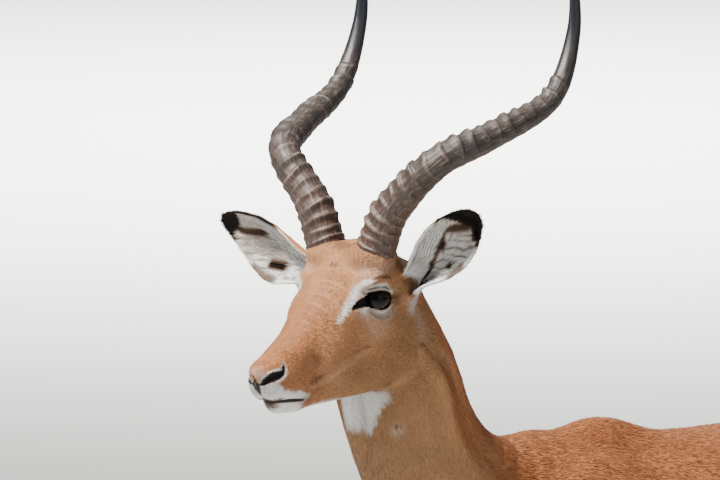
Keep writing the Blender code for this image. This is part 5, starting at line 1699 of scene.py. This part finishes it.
@dataclass
class Horn:
    """One lyre-shaped horn, ringed below and smooth above."""

    side: Side
    around: int = 60
    along: int = 560
    ring_height: float = 0.38
    groove_height: float = 0.014
    seed: int = 11
    rings: tuple[float, float] = (0.008, 0.655)
    line: tuple[Triple, ...] = (
        (-1.3, 2.9, 3.6), (-1.9, 3.45, 5.2), (-3.1, 5.3, 9.1), (-5.6, 10.15, 13.7),
        (-12.0, 12.5, 14.7), (-21.1, 14.05, 16.1), (-26.2, 14.2, 21.5), (-27.7, 14.0, 27.4),
        (-26.8, 13.3, 32.4), (-24.9, 12.5, 36.0))
    taper: tuple[tuple[float, float], ...] = (
        (0.0, 1.0), (0.1, 0.93), (0.2, 0.82), (0.32, 0.75), (0.48, 0.63), (0.6, 0.52),
        (0.7, 0.38), (0.8, 0.25), (0.93, 0.12), (1.0, 0.05))

    def ring_wave(self, place: Array, turn: Array) -> tuple[Array, Array]:
        """How high the rings stand at places along and round the horn, and the crests alone."""
        start, end = self.rings
        part = np.clip((place - start) / (end - start), 0.0, 1.0) ** 0.8 * (HORN_RINGS + 2)
        skew = 0.22 * np.sin(turn + 0.6) + 0.06 * np.sin(3 * turn + np.floor(part) * 2.1)
        phase = part + skew
        number = np.floor(phase)
        phase = phase - number
        uneven = 0.72 + 0.28 * np.sin(number * 4.7 + 1.0)
        climb = rise(0.15, 0.72, phase) ** 1.5 * rise(0.94, 0.78, phase)
        front = 0.16 + 0.84 * ((1 + np.cos(turn + 0.75)) / 2) ** 1.3
        fade = rise(start, start + 0.02, place) * rise(end, end - 0.08, place)
        crest = rise(0.60, 0.70, phase) * rise(0.84, 0.76, phase)
        return climb * uneven * front * fade, crest * fade * uneven * (0.25 + 0.75 * front)

    def build(self, material: Material) -> None:
        """Loft the horn with its rings and fine lengthwise grooves."""
        line = smooth_rows(self.line, 30)
        steps = np.linalg.norm(np.diff(line, axis=0), axis=1)
        run = np.concatenate([[0.0], np.cumsum(steps)]) / steps.sum()

        def at(place: Array) -> Array:
            """Places on the horn's middle line."""
            return np.stack([np.interp(place, run, column) for column in line.T], axis=1)

        place = np.linspace(0.0, 1.0, self.along)
        centre = at(place)
        way = units(at(np.clip(place + 0.01, 0, 1)) - at(np.clip(place - 0.01, 0, 1)))
        ahead = np.array([1.0, 0.0, 0.3])
        front = units(ahead - way * (way @ ahead)[:, None])
        beside = np.cross(way, front)
        turn = 2 * math.pi * np.arange(self.around) / self.around
        grid_place, grid_turn = np.meshgrid(place, turn, indexing="ij")
        scale = np.interp(grid_place, *zip(*self.taper))
        wave, crest = self.ring_wave(grid_place, grid_turn)
        rng = np.random.default_rng(self.seed)
        groove = np.zeros_like(scale)
        for count in (9, 14, 23, 31):
            shift = rng.uniform(0, 6.28)
            groove += np.sin(count * grid_turn + shift + 1.5 * np.sin(grid_place * 40 + shift))
        rough = rise(0.75, 0.6, grid_place)
        radius = HORN_RADIUS * scale + (self.ring_height * scale ** 0.5 * wave
                                        + self.groove_height * groove * rough * scale)
        points = (centre[:, None] + radius[:, :, None]
                  * (np.cos(grid_turn)[:, :, None] * front[:, None]
                     + np.sin(grid_turn)[:, :, None] * beside[:, None]))
        points = HEAD.one_side(self.side.value).outward(points.reshape(-1, 3))
        left = self.side is Side.LEFT
        faces = tube_faces(self.along, self.around, (0, 1, 2, 3) if left else (3, 2, 1, 0))
        top = len(points) - self.around
        cap, base = list(range(top, len(points))), list(range(self.around))[::-1]
        faces += [cap, base] if left else [cap[::-1], base[::-1]]
        name = "horn_" + self.side.word
        values = {"place": grid_place, "crest": crest, "turn": grid_turn}
        made = mesh_object(name + "_ringed", points, faces, material, values)
        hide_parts(name)


@dataclass
class Hooves:
    """Eight claws, two to a foot, cut from the leg's own form."""

    form: Form
    size: float = 0.17

    def build(self, material: Material) -> None:
        """Make each claw and hide its solid."""
        for leg, spread in (("fore", LEG_SPREAD_FORE), ("hind", LEG_SPREAD_HIND)):
            for side in Side:
                ahead = ankle_ahead(side.value, leg == "fore")
                for place in ("inner", "outer"):
                    points, quads = self.claw(side.value, ahead, spread, place == "inner")
                    node = f"{leg}_hoof_{side.word}_{place}"
                    made = mesh_object(node + "_horny", points, quads.tolist(),
                                       material, {})
                    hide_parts(node)

    def claw(self, side: int, ahead: float, spread: float, inner: bool) -> tuple[Array, Array]:
        """Points and faces of one claw."""
        low = np.array([-ahead - 11.0, min(-side * 2.6, -side * 11.0), -0.6])
        high = np.array([-ahead + 5.0, max(-side * 2.6, -side * 11.0), 9.0])
        axes = [np.arange(a, b, self.size) for a, b in zip(low, high)]
        grid = np.stack(np.meshgrid(*axes, indexing="ij"), axis=-1).reshape(-1, 3)
        values = self.form.at(grid)
        forward, _, up = BODY.inward(*grid.T)
        left = -grid[:, 1] * side
        crown = 0.38 * (ahead + 2.2 - forward) + 0.92 * (up - CORONET)
        split = (left - spread) * (1 if inner else -1) + 0.05
        for plane in (crown, -up, split):
            values = -melt(-values, -plane, 0.22)
        points, quads = net(axes, values.reshape([len(a) for a in axes]))
        points[:, 2] = np.maximum(points[:, 2], 0.02)
        return points, quads


@dataclass
class Eyeball:
    """One eye with its clear bulge, dark iris and level pupil."""

    side: Side
    place: EyePlace
    rings: int = 48
    spokes: int = 64

    def build(self, material: Material) -> None:
        """A ball that bulges over the iris, turned to look outward."""
        basis = self.place.basis()
        out = unit(0.9 * basis[2] + 0.25 * basis[0])
        ahead = unit(basis[0] - out * (basis[0] @ out))
        above = np.cross(ahead, out)
        turn = 2 * math.pi * np.arange(self.spokes) / self.spokes
        rows, iris_x, iris_y = [], [], []
        for angle in np.linspace(0, math.pi, self.rings):
            radius = EYE_RADIUS + float(0.07 * rise(0.95, 0.0, np.array(angle)))
            for spoke in turn:
                x = math.sin(angle) * math.cos(spoke)
                y = math.sin(angle) * math.sin(spoke)
                rows.append(radius * (x * ahead + y * above + math.cos(angle) * out))
                iris_x.append(x if angle < 1.5 else 2.0)
                iris_y.append(y if angle < 1.5 else 2.0)
        points = HEAD.one_side(self.side.value).outward(np.array(rows) + np.array(EYE_AT))
        order = (0, 3, 2, 1) if self.side is Side.RIGHT else (1, 2, 3, 0)
        faces = tube_faces(self.rings, self.spokes, order)
        node = "eye_" + self.side.word
        values = {"iris_x": np.array(iris_x), "iris_y": np.array(iris_y)}
        made = mesh_object(node + "_ball", points, faces, material, values)
        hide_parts(node)


# ---- finishes


Colour = Triple


class Nodes:
    """Short ways to place and join shader nodes in one tree."""

    def __init__(self, tree: bpy.types.NodeTree) -> None:
        """Work in this tree."""
        self.tree = tree
        self.step = 0

    def add(self, kind: str, values: dict[int | str, object] | None = None,
            **settings: object) -> bpy.types.Node:
        """A new node with its settings and what goes into its sockets."""
        node = self.tree.nodes.new(kind)
        self.step += 1
        node.location = (180 * (self.step % 12), -220 * (self.step // 12))
        for key, value in settings.items():
            setattr(node, key, value)
        self.give(node, values or {})
        return node

    def give(self, node: bpy.types.Node, values: dict[int | str, object]) -> None:
        """Link or set sockets of a node, by name or number."""
        for key, value in values.items():
            self.feed(node.inputs[key], value)

    def place(self) -> Socket:
        """Where a point lies on the piece."""
        return self.add("ShaderNodeTexCoord").outputs["Object"]

    def bump(self, shader: bpy.types.Node, strength: float, distance: float,
             height: Socket) -> None:
        """Relief on a shader's surface."""
        node = self.add("ShaderNodeBump", {"Strength": strength, "Distance": distance,
                                           "Height": height})
        self.join(node.outputs[0], shader.inputs["Normal"])

    def join(self, source: Socket, target: Socket) -> None:
        """Link two sockets."""
        self.tree.links.new(source, target)

    def feed(self, socket: Socket, value: object) -> None:
        """Link or set a socket, whichever the value asks for."""
        if isinstance(value, Socket):
            self.join(value, socket)
        elif isinstance(value, tuple):
            socket.default_value = (*value, 1.0) if len(socket.default_value) == 4 else value
        else:
            socket.default_value = value

    def value(self, name: str) -> Socket:
        """A number stored on the mesh."""
        return self.add("ShaderNodeAttribute", attribute_name=name).outputs["Fac"]

    def maths(self, operation: str, a: object, b: object = 0.0) -> Socket:
        """One sum."""
        return self.add("ShaderNodeMath", {0: a, 1: b}, operation=operation).outputs[0]

    def blend(self, part: object, a: object, b: object, how: str = "MIX") -> Socket:
        """Two colours mixed."""
        return self.add("ShaderNodeMix", {0: part, 6: a, 7: b}, data_type="RGBA",
                        blend_type=how).outputs[2]

    def noise(self, place: Socket, scale: float, detail: float = 3.0,
              roughness: float = 0.55) -> Socket:
        """Soft noise over space."""
        return self.add("ShaderNodeTexNoise", {
            "Vector": place, "Scale": scale, "Detail": detail,
            "Roughness": roughness}).outputs["Fac"]

    def spread(self, value: object, low: float, high: float, to_low: float,
               to_high: float) -> Socket:
        """A number moved from one span to another, kept within it."""
        return self.add("ShaderNodeMapRange", {
            "Value": value, "From Min": low, "From Max": high, "To Min": to_low,
            "To Max": to_high}).outputs["Result"]


def new_group(name: str, inputs: Sequence[tuple[str, str, object]],
              outputs: Sequence[tuple[str, str]]) -> tuple[bpy.types.NodeTree, Nodes]:
    """A node group with named inputs and outputs.

    Args:
        name: the group's name.
        inputs: name, socket type and value of each input.
        outputs: name and socket type of each output.

    Returns:
        The tree, and a helper that works in it.
    """
    tree = bpy.data.node_groups.new(name, "ShaderNodeTree")
    for title, kind, value in inputs:
        socket = tree.interface.new_socket(title, in_out="INPUT", socket_type=kind)
        socket.default_value = (*value, 1.0) if isinstance(value, tuple) else value
    for title, kind in outputs:
        tree.interface.new_socket(title, in_out="OUTPUT", socket_type=kind)
    return tree, Nodes(tree)


COLOUR = "NodeSocketColor"
NUMBER = "NodeSocketFloat"


def coat_colour_group() -> bpy.types.NodeTree:
    """The coat's colours from the markings on the mesh, painted shade and highlight among them,
    with fine differences between hairs.
    """
    tree, n = new_group(
        "coat_colour",
        [("Flank", COLOUR, (0.52, 0.30, 0.150)), ("Saddle", COLOUR, (0.315, 0.116, 0.048)),
         ("White", COLOUR, (0.74, 0.75, 0.75)), ("Dark", COLOUR, (0.0065, 0.005, 0.0045)),
         # the dusk colour is the olive-brown of the dusky nose bridge and also the painted shade
         # of cheeks, jowl and neck
         ("Dusk", COLOUR, (0.150, 0.103, 0.053)), ("Contrast", NUMBER, 0.3),
         ("Patchiness", NUMBER, 0.25)],
        [("Color", COLOUR), ("Roughness", NUMBER)])
    given = n.add("NodeGroupInput").outputs
    out = n.add("NodeGroupOutput")
    place = n.place()
    colour = n.blend(n.value("saddle"), given["Flank"], given["Saddle"])
    # dusky coat and painted shade, by the dusk marking
    colour = n.blend(n.value("dusk"), colour, given["Dusk"])
    patch = n.spread(n.noise(place, 34.0, 4.0), 0.3, 0.7, -0.5, 0.5)
    patch = n.maths("MULTIPLY", patch, given["Patchiness"])
    strand = n.maths("SUBTRACT", n.value("strand"), 0.5)
    strand = n.maths("MULTIPLY", strand, given["Contrast"])
    tip = n.maths("MULTIPLY", n.maths("SUBTRACT", n.value("along"), 0.4), 0.22)
    bright = n.maths("ADD", n.maths("ADD", patch, strand), n.maths("ADD", tip, 1.0))
    fine = n.spread(n.noise(place, 420.0, 2.0), 0.3, 0.7, 0.88, 1.12)
    bright = n.maths("MULTIPLY", bright, fine)
    white = n.blend(n.value("white"), colour, given["White"])
    dark = n.blend(n.value("dark"), white, given["Dark"])
    grey = n.add("ShaderNodeCombineColor", {0: bright, 1: bright, 2: bright})
    n.give(out, {"Color": n.blend(1.0, dark, grey.outputs[0], "MULTIPLY"),
                 "Roughness": n.maths("ADD", n.maths("MULTIPLY", n.value("white"), 0.12), 0.50)})
    return tree


@dataclass(frozen=True)
class HairFinish:
    """The hair itself."""

    name: str
    colours: bpy.types.NodeTree
    contrast: float = 0.20
    patchiness: float = 0.13
    shine: float = 0.08

    def material(self) -> Material:
        """Colour by the markings, a soft shine along the hair."""
        made, n, shader = fresh(self.name)
        group = n.add("ShaderNodeGroup", node_tree=self.colours)
        n.give(group, {"Contrast": self.contrast, "Patchiness": self.patchiness})
        n.give(shader, {"Base Color": group.outputs["Color"],
                        "Roughness": group.outputs["Roughness"], "Specular IOR Level": self.shine})
        return made


@dataclass(frozen=True)
class SkinFinish:
    """The skin under the hair, coloured alike, with fine relief of flat hair."""

    name: str
    colours: bpy.types.NodeTree
    shade: Colour = (0.05, 0.03, 0.02)
    bare: Colour = (0.004, 0.0035, 0.004)

    def material(self) -> Material:
        """Colour by the markings; bare black skin where there is no hair."""
        made, n, shader = fresh(self.name)
        group = n.add("ShaderNodeGroup", node_tree=self.colours)
        n.give(group, {"Contrast": 0.0, "Patchiness": 0.15})
        darker = n.blend(0.10, group.outputs["Color"], self.shade)
        bare = n.value("bare")
        black = n.maths("MULTIPLY", bare, n.value("dark"))
        rough = n.maths("SUBTRACT", group.outputs["Roughness"], n.maths("MULTIPLY", bare, 0.12))
        n.give(shader, {"Base Color": n.blend(black, darker, self.bare), "Roughness": rough,
                        "Specular IOR Level": 0.12})
        place = n.place()
        stretch = n.add("ShaderNodeMapping", {"Vector": place, "Scale": (0.35, 1.0, 0.45)})
        fine = n.noise(stretch.outputs[0], 1500.0, 2.0)
        broad = n.noise(place, 260.0, 3.0)
        n.bump(shader, 0.2, 0.0004, n.maths("ADD", n.maths("MULTIPLY", fine, 0.6),
                                            n.maths("MULTIPLY", broad, 0.4)))
        return made


@dataclass(frozen=True)
class HornFinish:
    """Grey-brown ringed horn, pale where the rings are worn, dark and smooth at the tip."""

    name: str
    base: Colour = (0.026, 0.020, 0.018)
    worn: Colour = (0.23, 0.185, 0.160)
    red: Colour = (0.072, 0.030, 0.020)
    dirt: Colour = (0.026, 0.019, 0.016)
    tip: Colour = (0.010, 0.012, 0.017)

    def material(self) -> Material:
        """Worn crests, dirty troughs and lengthwise grain."""
        made, n, shader = fresh(self.name)
        place, crest, turn = n.value("place"), n.value("crest"), n.value("turn")
        rounded = n.add("ShaderNodeCombineXYZ", {
            0: n.maths("COSINE", turn), 1: n.maths("SINE", turn),
            2: n.maths("MULTIPLY", place, 5.0)}).outputs[0]
        grain = n.noise(rounded, 9.0, 5.0, 0.65)
        blot = n.noise(n.place(), 55.0, 4.0, 0.6)
        colour = n.blend(n.spread(place, 0.30, 0.02, 0.0, 0.75), self.base, self.red)
        colour = n.blend(n.spread(grain, 0.51, 0.66, 0.0, 0.6), colour, self.worn)
        wear = n.maths("MULTIPLY", crest, n.spread(blot, 0.44, 0.64, 0.04, 0.8))
        colour = n.blend(wear, colour, self.worn)
        colour = n.blend(n.spread(blot, 0.62, 0.36, 0.0, 0.5), colour, self.dirt)
        smooth = n.spread(place, 0.58, 0.72, 0.0, 1.0)
        n.give(shader, {"Base Color": n.blend(smooth, colour, self.tip),
                        "Roughness": n.spread(smooth, 0.0, 1.0, 0.52, 0.28)})
        fine = n.noise(rounded, 30.0, 4.0, 0.7)
        n.bump(shader, 0.6, 0.0007, n.maths("ADD", n.maths("MULTIPLY", grain, 0.7),
                                            n.maths("MULTIPLY", fine, 0.3)))
        return made


@dataclass(frozen=True)
class HoofFinish:
    """Near-black hoof horn with faint growth lines."""

    name: str
    base: Colour = (0.020, 0.017, 0.016)
    pale: Colour = (0.085, 0.068, 0.055)

    def material(self) -> Material:
        """Bands that lie level round the hoof."""
        made, n, shader = fresh(self.name)
        place = n.place()
        wave = n.add("ShaderNodeTexWave", {
            "Vector": place, "Scale": 60.0, "Distortion": 3.0, "Detail": 2.0},
            wave_type="BANDS", bands_direction="Z")
        scuff = n.noise(place, 90.0, 4.0)
        n.give(shader, {
            "Base Color": n.blend(n.spread(scuff, 0.45, 0.8, 0.0, 0.8), self.base, self.pale),
            "Roughness": n.spread(scuff, 0.3, 0.7, 0.34, 0.56)})
        n.bump(shader, 0.4, 0.0006, wave.outputs["Fac"])
        return made


@dataclass(frozen=True)
class EyeFinish:
    """A dark brown iris round a level pupil, under a wet clear layer."""

    name: str
    iris: Colour = (0.007, 0.0040, 0.0025)
    edge: Colour = (0.002, 0.0015, 0.0015)
    pupil: Colour = (0.0008, 0.0008, 0.0012)

    def material(self) -> Material:
        """Iris and pupil by the place on the ball."""
        made, n, shader = fresh(self.name)
        x, y = n.value("iris_x"), n.value("iris_y")
        wide = n.maths("POWER", n.maths("DIVIDE", x, 0.52), 2.0)
        tall = n.maths("POWER", n.maths("DIVIDE", y, 0.27), 2.0)
        pupil = n.spread(n.maths("ADD", wide, tall), 1.25, 0.8, 0.0, 1.0)
        ring = n.maths("SQRT", n.maths("ADD", n.maths("POWER", x, 2.0),
                                       n.maths("POWER", y, 2.0)))
        fibre = n.noise(n.place(), 900.0, 3.0)
        iris = n.blend(n.spread(fibre, 0.35, 0.65, 0.0, 0.6), self.iris, self.edge)
        colour = n.blend(n.spread(ring, 0.60, 0.74, 0.0, 1.0), iris, self.edge)
        n.give(shader, {
            "Base Color": n.blend(pupil, colour, self.pupil), "Roughness": 0.25,
            "Specular IOR Level": 0.1, "Coat Weight": 0.35, "Coat IOR": 1.3,
            "Coat Roughness": 0.03})
        return made


@dataclass(frozen=True)
class FloorFinish:
    """Plain pale studio floor."""

    name: str
    pale: Colour = (0.72, 0.72, 0.70)
    mottled: Colour = (0.70, 0.70, 0.685)

    def material(self) -> Material:
        """Nearly even, with the faintest mottling."""
        made, n, shader = fresh(self.name)
        mottle = n.spread(n.noise(n.place(), 1.5, 3.0), 0.3, 0.7, 0.0, 1.0)
        n.give(shader, {"Base Color": n.blend(mottle, self.pale, self.mottled),
                        "Roughness": 0.85, "Specular IOR Level": 0.2})
        return made


def fresh(name: str) -> tuple[Material, Nodes, bpy.types.Node]:
    """A new material with its shader, and a helper that works in its tree."""
    made = bpy.data.materials.new(name)
    made.use_nodes = True
    return made, Nodes(made.node_tree), made.node_tree.nodes["Principled BSDF"]


# ---- studio


FLOOR_REACH = 20.0
FLOOR_SIDES = 48


@dataclass
class Studio:
    """Floor, soft lights and the camera."""

    shift: Array
    distance: float = 9.0
    lens: float = 428.4
    azimuth: float = -35.0
    elevation: float = 7.0
    aside: float = 0.01334
    above: float = 0.0598

    def build(self) -> None:
        """Lay the floor and place lights and camera."""
        self.add_floor()
        self.add_world()
        self.add_lights()
        self.add_camera()

    def add_floor(self) -> None:
        """A wide level disc."""
        mesh = bpy.data.meshes.new("studio_floor")
        turns = [2 * math.pi * i / FLOOR_SIDES for i in range(FLOOR_SIDES)]
        edge = [(FLOOR_REACH * math.cos(t), FLOOR_REACH * math.sin(t), 0.0) for t in turns]
        mesh.from_pydata(edge, [], [list(range(FLOOR_SIDES))])
        floor = linked("studio_floor", mesh)
        mesh.materials.append(FloorFinish("studio_floor").material())

    def add_world(self) -> None:
        """An even pale surround."""
        world = bpy.data.worlds.new("studio")
        bpy.context.scene.world = world
        world.use_nodes = True
        back = world.node_tree.nodes["Background"]
        back.inputs["Color"].default_value = (0.88, 0.92, 0.95, 1.0)
        back.inputs["Strength"].default_value = 0.24

    def add_lights(self) -> None:
        """A large key light high in front, a fill and a soft light behind."""
        for row in (
                ("key", (-2.6, 0.0, 5.0), (-0.30, -0.02, 0.95), 0.8, 860.0, (1.0, 0.955, 0.88)),
                ("fill", (0.5, -5.0, 2.2), (0.0, 0.0, 0.8), 3.0, 32.0, (0.95, 0.97, 1.0)),
                ("rim", (2.6, 2.6, 3.4), (0.0, 0.0, 0.9), 2.0, 22.0, (1.0, 0.98, 0.95)),
                ("floor_light", (6.0, 9.0, 5.5), (6.2, 9.2, 0.0), 5.0, 1300.0,
                 (1.0, 1.0, 1.0), 100.0)):
            self.add_light(*row)

    def add_light(self, name: str, at: Sequence[float], to: Sequence[float], size: float,
                  power: float, colour: Colour, spread: float = 180.0) -> None:
        """One square area light that looks at a point, spread over an angle in degrees."""
        data = bpy.data.lights.new(name, "AREA")
        data.size = size
        data.energy = power
        data.spread = math.radians(spread)
        data.color = colour
        light = linked(name, data)
        back = unit(np.array(at) - np.array(to))
        right = unit(np.cross([0.0, 0.0, 1.0], back))
        light.matrix_world = placed(right, np.cross(back, right), back, np.array(at))

    def add_camera(self) -> None:
        """Level with the head, a little above, ahead and to the left of the animal."""
        a, e = math.radians(self.azimuth), math.radians(self.elevation)
        back = np.array([math.sin(a) * math.cos(e), -math.cos(a) * math.cos(e), math.sin(e)])
        right = np.array([math.cos(a), math.sin(a), 0.0])
        up = np.cross(back, right)
        data = bpy.data.cameras.new("camera")
        data.lens = self.lens
        data.sensor_width = 36.0
        data.sensor_fit = "HORIZONTAL"
        data.clip_start = 0.1
        data.clip_end = 60.0
        camera = linked("camera", data)
        place = HEAD.origin * CM + self.shift + self.distance * back + self.aside * right \
            + self.above * up
        camera.matrix_world = placed(right, up, back, place)
        bpy.context.scene.camera = camera


def placed(right: Array, up: Array, back: Array, at: Array) -> Matrix:
    """A matrix with these axes at a place."""
    rows = [[right[i], up[i], back[i], at[i]] for i in range(3)]
    return Matrix(rows + [[0.0, 0.0, 0.0, 1.0]])


# ---- the whole animal


FLESH = ["head", "muzzle", "lower_jaw", "neck", "chest", "barrel", "rump", "tail"] + [
    f"{part}_{side.word}" for side in Side
    for part in ("ear", "forearm", "fore_cannon", "fore_foot", "thigh", "shank",
                 "hind_cannon", "hind_foot")]


def skin_object(skin: Skin, coat: Coat, marks: Markings, material: Material) -> None:
    """The skin as one piece in place of all the flesh."""
    count = len(skin.points)
    values = marks.at(coat.points, coat.normals)
    values |= {"strand": np.full(count, 0.5), "along": np.full(count, 0.4)}
    made = mesh_object("skin", skin.points, skin.faces, material, values)
    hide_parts(*FLESH)
    LOG.info("skin: %d points, %d faces", count, len(skin.faces))


def to_frame() -> Array:
    """How far the solids' frame lies from the body's own, in metres."""
    low, high = (np.array(corner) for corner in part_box("eye_left"))
    ball = HEAD.one_side(1).outward(EYE_AT)[0] * CM
    return (low + high) / 2 - ball


def move_all(shift: Array) -> None:
    """Bring every new piece from the body's own frame into the solids'."""
    for made in bpy.context.scene.objects:
        if made.type == "MESH" and made.name in NEW_PIECES:
            made.data.transform(Matrix.Translation(shift.tolist()))


NEW_PIECES: set[str] = set()


def main() -> None:
    """Build skin, coat, horns, hooves and eyes, then floor, lights and camera."""
    form = Flesh().build()
    face = Face(form)
    hide = Hide(form, face)
    shift = to_frame()
    LOG.info("the body's frame is moved by %s", np.round(shift, 4))
    skin = Skin(hide)
    skin.build()
    marks = Markings(face)
    colours = coat_colour_group()
    coat = Coat(skin, marks, Lie())
    skin_object(skin, coat, marks, SkinFinish("skin", colours).material())
    for side in Side:
        Horn(side).build(HornFinish("horn").material())
        Eyeball(side, face.eye).build(EyeFinish("eye").material())
    Hooves(form).build(HoofFinish("hoof").material())
    hair = HairFinish("hair", colours).material()
    coat.head(hair)
    coat.ears(hair)
    coat.trunk(hair)
    coat.legs(hair)
    coat.tail(hair)
    coat.heels(hair)
    move_all(shift)
    Studio(shift).build()


if __name__ == "__main__":
    logging.basicConfig(level=logging.INFO, format="%(name)s: %(message)s")
    main()
